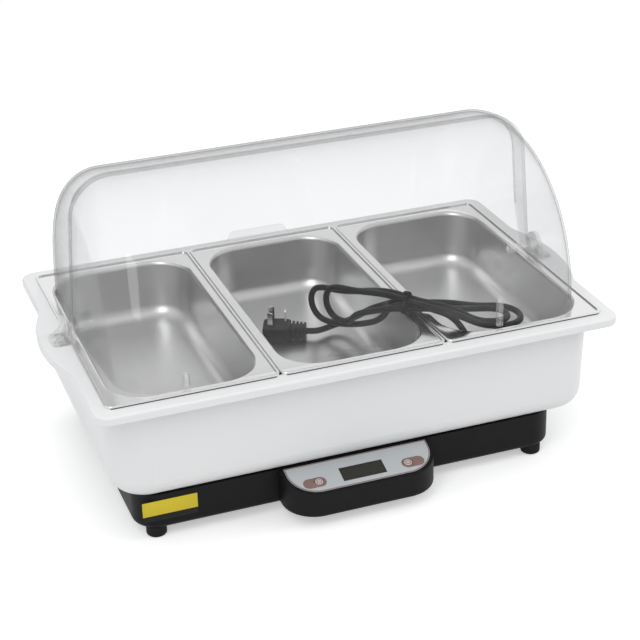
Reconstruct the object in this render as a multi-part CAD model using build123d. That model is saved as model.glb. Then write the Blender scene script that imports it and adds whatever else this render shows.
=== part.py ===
from build123d import *
import math
import os

# Electric buffet warmer with three food pans and a roll-back clear cover.
# All lengths are in millimetres. Z points up, X runs across the front and Y runs to the back.
# While it is modelled, height zero is the top of the pans' flanges. The last lines move the
# finished pieces so that height zero is the surface that the feet stand on.

# Food pans
pan_count = 3
pan_gap = 0.5
pan_width = 175.5
pan_length = 325.0
pan_sheet = 1.0
pan_flange = 13.0
pan_depth = 65.0
pan_mouth_corner = 40.0
pan_outer_corner = 8.0
pan_draft = 3.5
pan_floor_fillet = 16.0
pan_lip_radius = 5.0
bead_height = 1.8
bead_width = 3.2
bead_round = 0.7

# Water basin
basin_wall = 3.0
basin_overlap = 4.0
basin_height = 113.0
basin_corner = 42.0
basin_draft = 2.4
basin_floor_fillet = 20.0
rim_reach_side = 14.5
rim_reach_front = 16.5
rim_corner = 16.0
rim_lip = 8.5
rim_round = 2.4
grip_reach = 15.0
grip_chord = 150.0
grip_blend = 24.0

# Clear covers
cover_wall = 2.0
cover_gap = 1.0
cover_inside_pan_ends = 3.5
cover_inside_pan_sides = 6.75
cover_draft = 4.2
hub_radius = 13.0
cover_corner = 45.0
cover_skirt = 8.0
pivot_height = 10.5
edge_rib_height = 1.2
edge_rib_width = 4.0
cover_overlap = 18.0
front_edge_bend = 46.0
front_edge_at_pivot = 8.2
front_edge_below = 1.5
tab_width = 75.0
tab_top_width = 62.0
tab_length = 12.0
tab_corner = 6.0
tab_angle = 60.0
tab_shift = -5.0
peg_radius = 3.75
peg_inset = 3.4
left_peg_x = -181.0
left_peg_height = 14.5
right_peg_x = 151.0
right_peg_height = 31.0

# Cover hinges
pin_radius = 3.0
running_clearance = 0.05
pin_head_radius = 5.0
pin_head_length = 2.8
ear_clear_of_pan = 0.6
ear_thickness = 4.6
ear_radius = 15.0
hub_boss_radius = 6.0
side_clearance = 0.3
foot_length = 17.0
foot_thickness = 2.4
foot_half_depth = 15.0
gusset_thickness = 2.0
snap_peg_radius = 2.4
snap_peg_inset = 4.5
snap_peg_pitch = 18.0
cap_radius = 4.8
cap_length = 17.5
pin_reach_in_cap = 14.0

# Black base
base_shift = -9.0
base_width = 460.0
base_depth = 296.0
base_height = 40.0
base_corner = 26.0
base_wall = 3.0
base_edge_round = 6.0
base_lip = 9.0
foot_radius = 10.5
foot_height = 12.0
foot_inset_x = 21.5
foot_inset_y = 14.0
foot_recess_radius = 4.2
foot_recess_depth = 5.0
foot_edge = 2.5
foot_screw_radius = 2.0
screw_bite = 8.0
plate_thickness = 2.5
plate_clearance = 0.3
post_radius = 4.5
post_inset_x = 40.0
post_inset_y = 53.0
vent_slots = 7
vent_pitch = 12.0
vent_length = 46.0
vent_width = 4.0
vent_x = 150.0

# Control module
module_half_width = 82.0
module_reach = 43.0
module_corner = 35.0
module_wall = 2.5
module_boss_radius = 4.0
module_boss_length = 14.0
module_front_drop = 13.0
panel_inset = 4.5
panel_back_inset = 2.0
panel_thickness = 1.2
panel_seat = 0.8
lcd_width = 47.0
lcd_height = 18.2
lcd_down = 24.6
lcd_frame = 4.0
lcd_set_back = 0.3
button_pitch = 96.6
button_down = 27.7
button_radius = 5.75
button_proud = 0.8
button_travel = 1.0
button_guide = 6.0
button_collar = 1.2
button_collar_height = 1.0
button_dish = 0.4
board_width = 124.0
board_depth = 33.0
board_thickness = 1.6
board_drop = 13.5
boss_radius = 3.0
board_screw_radius = 1.2
board_screw_bite = 5.0
switch_side = 6.0
switch_height = 1.4
switch_plunger_radius = 1.6

# Heater in the basin floor
heater_hole_radius = 56.0
heating_plate_radius = 72.0
heating_plate_thickness = 2.0
gasket_thickness = 1.5
gasket_width = 14.0
element_radius = 40.0
element_tube = 3.2
element_open_angle = 40.0
terminal_radius = 1.8
terminal_length = 16.0
dish_sheet = 1.2
dish_depth = 9.0
dish_radius = 76.0
pad_clearance = 0.5
clamp_screws_count = 6
clamp_circle_radius = 64.0
clamp_screw_radius = 2.0
clamp_head_radius = 3.8
clamp_head_height = 2.4
screw_clearance = 0.05
cutout_radius = 8.0
cutout_height = 8.5
cutout_stem_radius = 4.0
probe_radius = 2.4
probe_x = 24.0

# Supply side
inlet_x = 120.0
inlet_width = 28.0
inlet_height = 20.0
inlet_flange = 3.0
inlet_flange_thickness = 2.0
inlet_body_depth = 24.0
socket_width = 24.6
socket_height = 16.6
socket_depth = 17.0
blade_width = 4.0
blade_thickness = 2.0
blade_length = 14.0
blade_pitch = 14.0
blade_raise = 2.5
power_board_x = -150.0
power_board_width = 80.0
power_board_depth = 100.0
power_post_height = 6.0
relay_width = 19.0
relay_depth = 15.5
relay_height = 15.0
block_width = 10.0
block_depth = 60.0
block_height = 9.0
block_ways = 6
wire_radius = 1.4
wire_slack = 20.0

# Supply cord, tied in a hank, that lies in the pans
cord_radius = 3.4
cord_spacing = 7.4
layer_rise = 7.5
waist_height = 7.9
tie_place = (78.0, -82.0)
under_heading = -24.0
over_heading = -62.0
lead_column = 1
under_columns = (-1, 0)
over_columns = (-0.5, 0.5)
left_reaches = (90.0, 118.0)
left_heights = (-16.0, -27.5)
left_radii = (19.5, 20.0)
left_slope = -0.1
return_reach = 50.0
return_bows = (9.4, 4.8)
return_heights = (-11.0, -27.0)
right_centres = ((168.0, -111.0, -8.0), (162.0, -111.0, -6.0))
right_radii = (24.0, 15.5)
right_heading = -14.0
right_slope = -0.05
seam_clear_x = 104.0
return_places = ((100.0, -118.5, 14.5), (102.5, -109.0, 15.4))
tail_drop = 5.0
lead_places = ((29.0, 28.5, -56.6), (50.0, 18.0, -48.0), (68.0, -28.0, -15.0))
plug_length = 30.0
boot_length = 17.0
plug_width = 30.0
plug_thickness = 17.0
plug_end_place = (2.7, 23.1)
plug_heading = -23.3
plug_pin_length = 17.0
tie_thickness = 1.2
tie_width = 4.0
twist_radius = 2.0
connector_place = (178.0, -112.0)
connector_heading = 2.0
connector_length = 46.0
connector_width = 27.0
connector_thickness = 19.0

# Sizes that follow from the ones above
pan_pitch = pan_width + pan_gap
pans_half_width = (pan_count * pan_pitch - pan_gap) / 2
cover_radius = pan_length / 2 - cover_inside_pan_ends
cover_half_width = pans_half_width - cover_inside_pan_sides
foot_pitch_x = base_width - 2 * foot_inset_x
foot_pitch_y = base_depth - 2 * foot_inset_y
post_pitch_x = base_width - 2 * post_inset_x
post_pitch_y = base_depth - 2 * post_inset_y
rim_top = -pan_sheet
inner_half_width = pans_half_width - basin_overlap
inner_half_depth = pan_length / 2 - basin_overlap
outer_half_width = inner_half_width + basin_wall
outer_half_depth = inner_half_depth + basin_wall
rim_half_width = outer_half_width + rim_reach_side
rim_half_depth = outer_half_depth + rim_reach_front
basin_bottom = rim_top - basin_height
basin_floor = basin_bottom + basin_wall
base_bottom = basin_bottom - base_height
base_front = -base_depth / 2
base_ceiling = basin_bottom - base_wall
foot_bottom = base_bottom - foot_height
module_front = base_front - module_reach
slope_angle = math.degrees(math.atan(module_front_drop / module_reach))
lift = -foot_bottom
middle_y = (rim_half_depth + module_front) / 2

slope = Plane(
    origin=(base_shift, base_front, basin_bottom),
    x_dir=(1, 0, 0),
    z_dir=(0, -math.sin(math.radians(slope_angle)), math.cos(math.radians(slope_angle))),
)

heater_top = basin_floor + gasket_thickness
element_height = heater_top - element_tube
dish_top = base_ceiling - dish_sheet
dish_floor = base_ceiling - dish_depth
board_top = -board_drop


# Common forms

def tub(width, length, corner, top, bottom, draft, floor_fillet):
    mouth = Plane(origin=(0, 0, top), x_dir=(1, 0, 0), z_dir=(0, 0, -1))
    walls = extrude(mouth * RectangleRounded(width, length, corner), amount=top - bottom, taper=draft)
    floor = walls.faces().sort_by(Axis.Z)[0]
    return fillet(floor.edges(), floor_fillet)


def slab(outline, low, high):
    return extrude(Plane.XY.offset(low) * outline, amount=high - low)


def disc(radius, low, high, x=0.0, y=0.0):
    return slab(Pos(x, y) * Circle(radius), low, high)


def ring(outer, inner, low, high, x=0.0, y=0.0):
    return slab(Pos(x, y) * (Circle(outer) - Circle(inner)), low, high)


def block(width, depth, low, high, x=0.0, y=0.0):
    return slab(Pos(x, y) * Rectangle(width, depth), low, high)


def across(radius, start, end, height):
    """A rod along X between two x values."""
    face = Plane(origin=(start, 0, height), z_dir=(1, 0, 0)) * Circle(radius)
    return extrude(face, amount=end - start)


def bar(radius, points, bend):
    """A round wire through points, with one bend radius."""
    path = FilletPolyline(*points, radius=bend)
    return sweep(Plane(origin=path @ 0, z_dir=path % 0) * Circle(radius), path=path)


# Food pans

def food_pan(x):
    mouth_width = pan_width - 2 * pan_flange
    mouth_length = pan_length - 2 * pan_flange
    flange_outline = RectangleRounded(pan_width, pan_length, pan_outer_corner)
    inside_bead = RectangleRounded(
        pan_width - 2 * bead_width, pan_length - 2 * bead_width, pan_outer_corner - bead_width
    )
    body = tub(
        mouth_width + 2 * pan_sheet,
        mouth_length + 2 * pan_sheet,
        pan_mouth_corner + pan_sheet,
        -pan_sheet,
        -pan_depth,
        pan_draft,
        pan_floor_fillet + pan_sheet,
    )
    flange = slab(flange_outline, -pan_sheet, 0)
    shell = flange + body
    joint_edges = [
        edge
        for edge in shell.edges()
        if abs(edge.bounding_box().max.Z + pan_sheet) < 0.01
        and abs(edge.bounding_box().min.Z + pan_sheet) < 0.01
        and edge.bounding_box().max.X < mouth_width / 2 + pan_sheet + 0.1
        and edge.bounding_box().min.X > -mouth_width / 2 - pan_sheet - 0.1
    ]
    shell = fillet(joint_edges, pan_lip_radius - pan_sheet)
    space = tub(
        mouth_width, mouth_length, pan_mouth_corner, 0, pan_sheet - pan_depth, pan_draft, pan_floor_fillet
    )
    above = slab(RectangleRounded(pan_width + 20, pan_length + 20, pan_mouth_corner), 0, 20)
    space = space + above
    lip_edges = [
        edge
        for edge in space.edges()
        if abs(edge.bounding_box().max.Z) < 0.01
        and abs(edge.bounding_box().min.Z) < 0.01
        and edge.bounding_box().max.X < mouth_width / 2 + 0.1
        and edge.bounding_box().min.X > -mouth_width / 2 - 0.1
    ]
    space = fillet(lip_edges, pan_lip_radius)
    bead = slab(flange_outline - inside_bead, 0, bead_height)
    bead = fillet(bead.faces().sort_by(Axis.Z)[-1].edges(), bead_round)
    return Pos(x, 0, 0) * ((shell - space) + bead)


# Water basin

def rim_outline(inset):
    radius = (grip_chord ** 2 / 4 + grip_reach ** 2) / (2 * grip_reach)
    outline = RectangleRounded(2 * rim_half_width, 2 * rim_half_depth, rim_corner)
    for side in (-1, 1):
        centre = side * (rim_half_width + grip_reach - radius)
        lobe = Pos(centre, 0) * Circle(radius)
        beyond = Pos(side * (rim_half_width + grip_reach / 2), 0) * Rectangle(grip_reach, grip_chord * 1.2)
        outline = outline + (lobe & beyond)
    blends = [
        vertex
        for vertex in outline.vertices()
        if abs(abs(vertex.X) - rim_half_width) < 0.01 and abs(abs(vertex.Y) - grip_chord / 2) < 1.0
    ]
    outline = fillet(blends, grip_blend)
    if inset:
        outline = offset(outline, amount=-inset, kind=Kind.INTERSECTION)
    return outline


def clamp_places():
    return [
        (
            clamp_circle_radius * math.cos(math.radians(360 / clamp_screws_count * i + 30)),
            clamp_circle_radius * math.sin(math.radians(360 / clamp_screws_count * i + 30)),
        )
        for i in range(clamp_screws_count)
    ]


def snap_peg_places():
    x = pans_half_width + ear_clear_of_pan + foot_length - snap_peg_inset
    return [(side * x, place * snap_peg_pitch / 2) for side in (-1, 1) for place in (-1, 1)]


def water_basin():
    lip = slab(rim_outline(0), rim_top - rim_lip, rim_top)
    lip = fillet(lip.faces().sort_by(Axis.Z)[-1].edges(), rim_round)
    under = slab(rim_outline(basin_wall), rim_top - rim_lip - 1, rim_top - basin_wall)
    body = tub(
        2 * outer_half_width,
        2 * outer_half_depth,
        basin_corner,
        rim_top,
        basin_bottom,
        basin_draft,
        basin_floor_fillet,
    )
    space = tub(
        2 * inner_half_width,
        2 * inner_half_depth,
        basin_corner - basin_wall,
        rim_top,
        basin_floor,
        basin_draft,
        basin_floor_fillet - basin_wall,
    )
    basin = (lip - under) + body - space
    basin -= disc(heater_hole_radius, basin_bottom - 1, basin_floor + 1)
    for x, y in clamp_places():
        basin -= disc(clamp_screw_radius + screw_clearance, basin_bottom - 1, basin_floor + 1, x, y)
    for x, y in snap_peg_places():
        basin -= disc(snap_peg_radius + screw_clearance, rim_top - basin_wall - 1, rim_top + 1, x, y)
    return basin


# Clear covers

def dome_profile(inset):
    wide = cover_half_width - inset
    high = cover_radius - inset
    narrow = wide - (high - hub_radius) * math.tan(math.radians(cover_draft))
    half = Polygon(
        (-wide, 0), (wide, 0), (wide, hub_radius), (narrow, high), (-narrow, high), (-wide, hub_radius),
        align=None,
    )
    return fillet(half.vertices().group_by(Axis.Y)[-1], cover_corner - inset)


def dome(inset, skirt, turn):
    """The covers' common form: a barrel turned up from the back, on a straight skirt."""
    profile = dome_profile(inset)
    barrel = revolve(profile, axis=Axis.X, revolution_arc=turn)
    plan = profile if turn < 180 else profile + mirror(profile, about=Plane.XZ)
    return barrel + extrude(plan, amount=-skirt)


def cover_shell(inset, turn):
    return dome(inset, cover_skirt, turn) - dome(inset + cover_wall, cover_skirt + 1, turn)


def side_zone(*outline):
    """A prism across the whole width, from an outline of depths and heights."""
    reach = cover_half_width + 10
    face = Plane(origin=(-reach, 0, 0), x_dir=(0, 1, 0), z_dir=(1, 0, 0)) * Polygon(*outline, align=None)
    return extrude(face, amount=2 * reach)


def pull_tab(side, radius):
    lean = math.radians(tab_angle)
    plane = Plane(
        origin=(tab_shift, side * radius, -cover_skirt),
        x_dir=(-side, 0, 0),
        z_dir=(0, side * math.sin(lean), -math.cos(lean)),
    )
    tab = Polygon(
        (-tab_width / 2, 0),
        (tab_width / 2, 0),
        (tab_top_width / 2, tab_length),
        (-tab_top_width / 2, tab_length),
        align=None,
    )
    tab = fillet(tab.vertices().group_by(Axis.Y)[-1], tab_corner)
    return extrude(plane * tab, amount=-cover_wall)


def pivot_holes():
    reach = cover_half_width + 5
    return across(pin_radius + running_clearance, -reach, reach, 0)


def hub_lugs():
    """Round ends of the rear cover's side walls about the pivot, cut off level with its skirt."""
    reach = cover_half_width
    lugs = across(hub_radius - 0.5, -reach, cover_wall - reach, 0)
    lugs += across(hub_radius - 0.5, reach - cover_wall, reach, 0)
    top = 2 * hub_radius
    return lugs & side_zone((-top, -cover_skirt), (top, -cover_skirt), (top, top), (-top, top))


def rear_cover():
    top = cover_radius + 10
    rib = dome(-edge_rib_height, cover_skirt, 90) - dome(cover_wall / 2, cover_skirt + 1, 90)
    rib = rib & side_zone((-1, -top), (edge_rib_width, -top), (edge_rib_width, top), (-1, top))
    rib -= across(hub_radius, -2 * cover_half_width, 2 * cover_half_width, 0)
    cover = cover_shell(0, 90) + rib + hub_lugs() + pull_tab(1, cover_radius)
    return Pos(0, 0, pivot_height) * (cover - pivot_holes())


def front_cover():
    inset = cover_wall + cover_gap
    top = cover_radius + 10
    zone = side_zone(
        (-top, -top),
        (front_edge_below, -top),
        (front_edge_below, -cover_skirt),
        (front_edge_at_pivot, 0),
        (cover_overlap, front_edge_bend),
        (cover_overlap, top),
        (-top, top),
    )
    cover = (cover_shell(inset, 180) & zone) + pull_tab(-1, cover_radius - inset)
    return Pos(0, 0, pivot_height) * (cover - pivot_holes())


def cover_pegs():
    inner = 2 * cover_wall + cover_gap
    y = -(cover_radius - inner - peg_inset)
    pegs = []
    for x, height in ((left_peg_x, left_peg_height), (right_peg_x, right_peg_height)):
        peg = disc(peg_radius, -cover_skirt, height - cover_skirt, x, y)
        peg = fillet(peg.faces().sort_by(Axis.Z)[-1].edges(), peg_radius * 0.8)
        pegs.append(Pos(0, 0, pivot_height) * (peg & dome(inner, cover_skirt + 1, 180)))
    return Compound(children=pegs)


# Cover hinges

def hinge_bracket(side):
    ear_inner = pans_half_width + ear_clear_of_pan
    ear_outer = ear_inner + ear_thickness
    foot_outer = ear_inner + foot_length
    base = rim_top
    upright = Plane(origin=(ear_inner, 0, 0), x_dir=(0, 1, 0), z_dir=(1, 0, 0))
    web_height = pivot_height - base
    web = Pos(0, base + web_height / 2) * Rectangle(2 * ear_radius, web_height)
    ear = extrude(upright * (web + Pos(0, pivot_height) * Circle(ear_radius)), amount=ear_thickness)
    ear = ear & block(100, 100, base, 100, ear_inner, 0)
    foot = block(foot_length, 2 * foot_half_depth, base, base + foot_thickness, (ear_inner + foot_outer) / 2)
    foot = fillet(foot.edges().filter_by(Axis.Z).group_by(Axis.X)[-1], foot_half_depth / 3)
    gusset_outline = Polygon((-1, 0), (foot_outer - ear_outer - 2, 0), (-1, pivot_height - 2), align=None)
    bracket = ear + foot
    for y in (-ear_radius * 0.6, ear_radius * 0.6):
        plane = Plane(origin=(ear_outer, y, base + foot_thickness), x_dir=(1, 0, 0), z_dir=(0, -1, 0))
        bracket += extrude(plane * gusset_outline, amount=gusset_thickness / 2, both=True)
    boss_start = cover_half_width + side_clearance
    bracket += across(hub_boss_radius, boss_start, ear_inner + 1, pivot_height)
    for x, y in snap_peg_places():
        if x > 0:
            bracket += disc(snap_peg_radius, base - basin_wall - 1, base + 0.5, x, y)
    bracket -= across(pin_radius + running_clearance, boss_start - 1, ear_outer + 1, pivot_height)
    return bracket if side > 0 else mirror(bracket, about=Plane.YZ)


def hinge_pin(side):
    ear_outer = pans_half_width + ear_clear_of_pan + ear_thickness
    inner_wall = cover_half_width - cover_gap - 2 * cover_wall
    start = inner_wall - side_clearance - pin_reach_in_cap
    pin = across(pin_radius, start, ear_outer + 0.5, pivot_height)
    head = across(pin_head_radius, ear_outer, ear_outer + pin_head_length, pivot_height)
    head = fillet(head.faces().sort_by(Axis.X)[-1].edges(), 1.0)
    pin = pin + head
    return pin if side > 0 else mirror(pin, about=Plane.YZ)


def hinge_cap(side):
    inner_wall = cover_half_width - cover_gap - 2 * cover_wall
    end = inner_wall - side_clearance
    cap = across(cap_radius, end - cap_length, end, pivot_height)
    cap = fillet(cap.faces().sort_by(Axis.X)[0].edges(), 1.2)
    cap -= across(pin_radius, end - pin_reach_in_cap, end + 1, pivot_height)
    return cap if side > 0 else mirror(cap, about=Plane.YZ)


# Black base

def base_outline(inset):
    return Pos(base_shift, 0) * RectangleRounded(
        base_width - 2 * inset, base_depth - 2 * inset, base_corner - inset
    )


def foot_places():
    return [(base_shift + i * foot_pitch_x / 2, j * foot_pitch_y / 2) for i in (-1, 1) for j in (-1, 1)]


def post_places():
    return [(base_shift + i * post_pitch_x / 2, j * post_pitch_y / 2) for i in (-1, 1) for j in (-1, 1)]


def module_screw_places():
    from_middle = module_half_width - module_wall - module_boss_radius + 1
    return [base_shift + side * from_middle for side in (-1, 1)]


def cable_window():
    low = base_bottom + base_height * 0.25
    high = base_bottom + base_height * 0.55
    return block(module_half_width, 4 * base_wall, low, high, base_shift, base_front)


def front_screw_height():
    return base_bottom + base_height * 0.3


def base_housing():
    body = slab(base_outline(0), base_bottom, basin_bottom)
    body = fillet(body.faces().sort_by(Axis.Z)[0].edges(), base_edge_round)
    body -= slab(base_outline(base_wall), base_bottom + base_wall, base_ceiling)
    body -= slab(base_outline(base_lip), base_bottom - 1, base_bottom + base_wall + 1)
    for x, y in foot_places():
        lug = disc(foot_radius, base_bottom, base_bottom + base_wall + 3, x, y)
        body += lug & slab(base_outline(base_wall), base_bottom, base_ceiling)
        body -= disc(foot_screw_radius + screw_clearance, base_bottom - 1, base_bottom + 5, x, y)
    for x, y in post_places():
        body += disc(post_radius, base_bottom + plate_thickness, base_ceiling + 0.5, x, y)
        body -= disc(foot_screw_radius + screw_clearance, base_bottom, base_bottom + 12, x, y)
    body -= disc(heater_hole_radius, base_ceiling - 1, basin_bottom + 1)
    for x, y in clamp_places():
        body -= disc(clamp_screw_radius + screw_clearance, base_ceiling - 1, basin_bottom + 1, x, y)
    body -= cable_window()
    for x in module_screw_places():
        hole = Plane(origin=(x, base_front, front_screw_height()), z_dir=(0, 1, 0))
        body -= extrude(hole * Circle(foot_screw_radius + screw_clearance), amount=2 * base_wall, both=True)
    height = base_bottom + base_height / 2
    body -= block(
        inlet_width + 2 * screw_clearance,
        4 * base_wall,
        height - inlet_height / 2 - screw_clearance,
        height + inlet_height / 2 + screw_clearance,
        base_shift + inlet_x,
        -base_front,
    )
    return body


def bottom_plate():
    plate = slab(base_outline(base_lip + plate_clearance), base_bottom, base_bottom + plate_thickness)
    for x, y in post_places():
        plate -= disc(foot_screw_radius + screw_clearance, base_bottom - 1, base_bottom + 5, x, y)
    for x, y in foot_places():
        plate -= disc(foot_radius + 1, base_bottom - 1, base_bottom + 5, x, y)
    for i in range(vent_slots):
        y = (i - (vent_slots - 1) / 2) * vent_pitch
        slot = Pos(base_shift + vent_x, y) * SlotOverall(vent_length, vent_width)
        plate -= slab(slot, base_bottom - 1, base_bottom + 5)
    for x, y in power_post_places():
        low = base_bottom + plate_thickness
        plate += disc(boss_radius, low, low + power_post_height, x, y)
    return plate


def rubber_feet():
    feet = []
    for x, y in foot_places():
        foot = disc(foot_radius, foot_bottom, base_bottom, x, y)
        foot = fillet(foot.faces().sort_by(Axis.Z)[0].edges(), foot_edge)
        foot -= disc(foot_recess_radius, foot_bottom - 1, foot_bottom + foot_recess_depth, x, y)
        foot -= disc(foot_screw_radius + screw_clearance, foot_bottom, base_bottom + 1, x, y)
        feet.append(foot)
    return Compound(children=feet)


def cross_head_screw(radius, head_radius, head_height, length):
    """A screw whose head rests on height zero and whose shank rises."""
    head = disc(head_radius, -head_height, 0)
    head = fillet(head.faces().sort_by(Axis.Z)[0].edges(), head_height * 0.4)
    slot = block(head_radius * 1.2, 0.7, -head_height - 1, -head_height * 0.5)
    return head + disc(radius, -0.2, length) - slot


def foot_screws():
    seat = foot_bottom + foot_recess_depth
    length = base_bottom - seat + base_wall + 2
    screw = cross_head_screw(foot_screw_radius, 2 * foot_screw_radius, 1.1 * foot_screw_radius, length)
    return Compound(children=[Pos(x, y, seat) * screw for x, y in foot_places()])


def plate_screws():
    length = plate_thickness + screw_bite
    screw = cross_head_screw(foot_screw_radius, 1.9 * foot_screw_radius, 0.9 * foot_screw_radius, length)
    return Compound(children=[Pos(x, y, base_bottom) * screw for x, y in post_places()])


# Control module

def module_outline(inset, back):
    """The D shape seen from above, cut off at the depth called back."""
    half = module_half_width - inset
    front = module_front + inset
    round_part = Pos(base_shift, front + half) * RectangleRounded(2 * half, 2 * half, module_corner - inset)
    return round_part & Pos(base_shift, (front + back) / 2) * Rectangle(2 * half, back - front)


def below_slope(shape, drop):
    cut = slope.offset(-drop)
    return split(shape, bisect_by=cut, keep=Keep.BOTTOM)


def on_slope(outline, low, high):
    """A slab square to the sloped face, between two heights above it."""
    return extrude(slope.offset(low) * outline, amount=high - low)


def button_places():
    return [(side * button_pitch / 2, -button_down) for side in (-1, 1)]


def boss_places():
    return [(-57, -13), (57, -13), (-33.5, -37), (33.5, -37)]


def panel_outline(inset):
    """The fascia's D shape, drawn on the sloped face."""
    half = module_half_width - panel_inset - inset
    length = module_reach / math.cos(math.radians(slope_angle))
    front = -length + panel_inset + inset
    back = -panel_back_inset - inset
    shape = Pos(0, front + half) * RectangleRounded(2 * half, 2 * half, module_corner - panel_inset - inset)
    return shape & Pos(0, (front + back) / 2) * Rectangle(2 * half, back - front)


def control_housing():
    body = slab(module_outline(0, base_front), base_bottom, basin_bottom + 5)
    body = below_slope(body, 0)
    low_edges = body.faces().sort_by(Axis.Z)[0].edges()
    low_edges = [edge for edge in low_edges if edge.center().Y < base_front - 0.5]
    body = fillet(low_edges, base_edge_round * 0.7)
    space = slab(module_outline(module_wall, base_front + 1), base_bottom + module_wall, basin_bottom + 5)
    body -= below_slope(space, module_wall)
    for x, y in boss_places():
        body += on_slope(Pos(x, y) * Circle(boss_radius), board_top, -module_wall + 0.5)
        body -= on_slope(Pos(x, y) * Circle(board_screw_radius + screw_clearance), board_top - 1, -5)
    for x, y in button_places():
        sleeve_radius = button_radius + running_clearance + 2
        body += on_slope(Pos(x, y) * Circle(sleeve_radius), -module_wall - button_guide, -module_wall + 0.5)
        hole = Pos(x, y) * Circle(button_radius + running_clearance)
        body -= on_slope(hole, -module_wall - button_guide - 1, 5)
    window = Pos(0, -lcd_down) * Rectangle(lcd_width + 0.6, lcd_height + 0.6)
    body -= on_slope(window, -module_wall - 1, 5)
    body -= on_slope(panel_outline(-0.15), -panel_seat, 5)
    for x in module_screw_places():
        plane = Plane(origin=(x, base_front, front_screw_height()), z_dir=(0, -1, 0))
        body += extrude(plane * Circle(module_boss_radius), amount=module_boss_length) & slab(
            module_outline(module_wall / 2, base_front), base_bottom, basin_bottom
        )
        body -= extrude(plane * Circle(foot_screw_radius + screw_clearance), amount=module_boss_length - 3)
    return body


def control_panel():
    panel = on_slope(panel_outline(0), -panel_seat, panel_thickness - panel_seat)
    for x, y in button_places():
        panel -= on_slope(Pos(x, y) * Circle(button_radius + 0.25), -5, 5)
    window = Pos(0, -lcd_down) * Rectangle(lcd_width, lcd_height)
    return panel - on_slope(window, -5, 5)


def lcd_display():
    face = Pos(0, -lcd_down) * Rectangle(lcd_width - 0.3, lcd_height - 0.3)
    frame = Pos(0, -lcd_down) * Rectangle(lcd_width + 2 * lcd_frame, lcd_height + 2 * lcd_frame)
    top = panel_thickness - panel_seat - lcd_set_back
    return on_slope(face, -module_wall - 1, top) + on_slope(frame, board_top, -module_wall - 0.3)


def push_button(side):
    x, y = button_places()[0 if side < 0 else 1]
    top = panel_thickness - panel_seat + button_proud
    low = -module_wall - button_guide - side_clearance - button_collar_height
    stem = on_slope(Pos(x, y) * Circle(button_radius), low, top)
    stem = fillet(stem.edges().filter_by(GeomType.CIRCLE).sort_by(Axis.Z)[-1], 0.5)
    collar = on_slope(Pos(x, y) * Circle(button_radius + button_collar), low, low + button_collar_height)
    dish = on_slope(Pos(x, y) * Circle(button_radius * 0.62), top - button_dish, top + 1)
    return stem + collar - dish


def button_switches():
    rest = -module_wall - button_guide - side_clearance - button_collar_height
    top = rest - button_travel - side_clearance
    switches = []
    for x, y in button_places():
        body = on_slope(Pos(x, y) * Rectangle(switch_side, switch_side), board_top, board_top + switch_height)
        switches.append(body + on_slope(Pos(x, y) * Circle(switch_plunger_radius), board_top, top))
    return Compound(children=switches)


def control_board():
    board = on_slope(
        Pos(0, -lcd_down) * Rectangle(board_width, board_depth), board_top - board_thickness, board_top
    )
    for x, y in boss_places():
        board -= on_slope(Pos(x, y) * Circle(board_screw_radius + screw_clearance), -30, 0)
    return board


def board_screws():
    length = board_thickness + board_screw_bite
    screw = cross_head_screw(board_screw_radius, 2 * board_screw_radius, 1.4, length)
    seat = slope.offset(board_top - board_thickness)
    return Compound(children=[seat.location * Pos(x, y, 0) * screw for x, y in boss_places()])


def module_screws():
    length = base_wall + screw_bite + 1
    screw = cross_head_screw(foot_screw_radius, 1.9 * foot_screw_radius, foot_screw_radius, length)
    screws = []
    for x in module_screw_places():
        seat = Plane(origin=(x, base_front + base_wall, front_screw_height()), z_dir=(0, -1, 0))
        screws.append(seat.location * screw)
    return Compound(children=screws)


# Heater in the basin floor

def heating_plate():
    plate = disc(heating_plate_radius, heater_top, heater_top + heating_plate_thickness)
    plate = fillet(plate.faces().sort_by(Axis.Z)[-1].edges(), 1.0)
    for x, y in clamp_places():
        plate -= disc(clamp_screw_radius + screw_clearance, heater_top - 1, heater_top + 1.2, x, y)
    return plate


def plate_gasket():
    gasket = ring(heating_plate_radius, heating_plate_radius - gasket_width, basin_floor, heater_top)
    for x, y in clamp_places():
        gasket -= disc(clamp_screw_radius + screw_clearance, basin_floor - 1, heater_top + 1, x, y)
    return gasket


def terminal_places():
    half = math.radians(element_open_angle / 2)
    x = -element_radius * math.cos(half)
    y = element_radius * math.sin(half)
    return [(x, -y), (x, y)]


def heating_element():
    start = 180 + element_open_angle / 2
    path = CenterArc((0, 0, element_height), element_radius, start, 360 - element_open_angle)
    element = sweep(Plane(origin=path @ 0, z_dir=path % 0) * Circle(element_tube), path=path)
    for x, y in terminal_places():
        element += Pos(x, y, element_height) * Sphere(element_tube)
        element += disc(terminal_radius, element_height - terminal_length, element_height, x, y)
    return element


def dish_holes():
    holes = [disc(terminal_radius + 1, dish_floor - 5, heater_top, x, y) for x, y in terminal_places()]
    holes.append(disc(probe_radius + 0.3, dish_floor - 5, heater_top, probe_x))
    return holes


def clamp_dish():
    flange = disc(dish_radius, dish_top, base_ceiling)
    well = disc(heater_hole_radius - 0.5, dish_floor - dish_sheet, dish_top + 0.1)
    well = fillet(well.faces().sort_by(Axis.Z)[0].edges(), 3.0)
    space = disc(heater_hole_radius - 0.5 - dish_sheet, dish_floor, base_ceiling + 1)
    space = fillet(space.faces().sort_by(Axis.Z)[0].edges(), 2.0)
    dish = flange + well - space
    for x, y in clamp_places():
        dish -= disc(clamp_screw_radius + screw_clearance, dish_top - 1, base_ceiling + 1, x, y)
    for hole in dish_holes():
        dish -= hole
    return dish


def insulation_pad():
    radius = heater_hole_radius - 0.5 - dish_sheet - 2
    top = element_height - element_tube - pad_clearance
    pad = ring(radius, cutout_radius + 1, dish_floor, top)
    for hole in dish_holes():
        pad -= hole
    return pad


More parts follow.
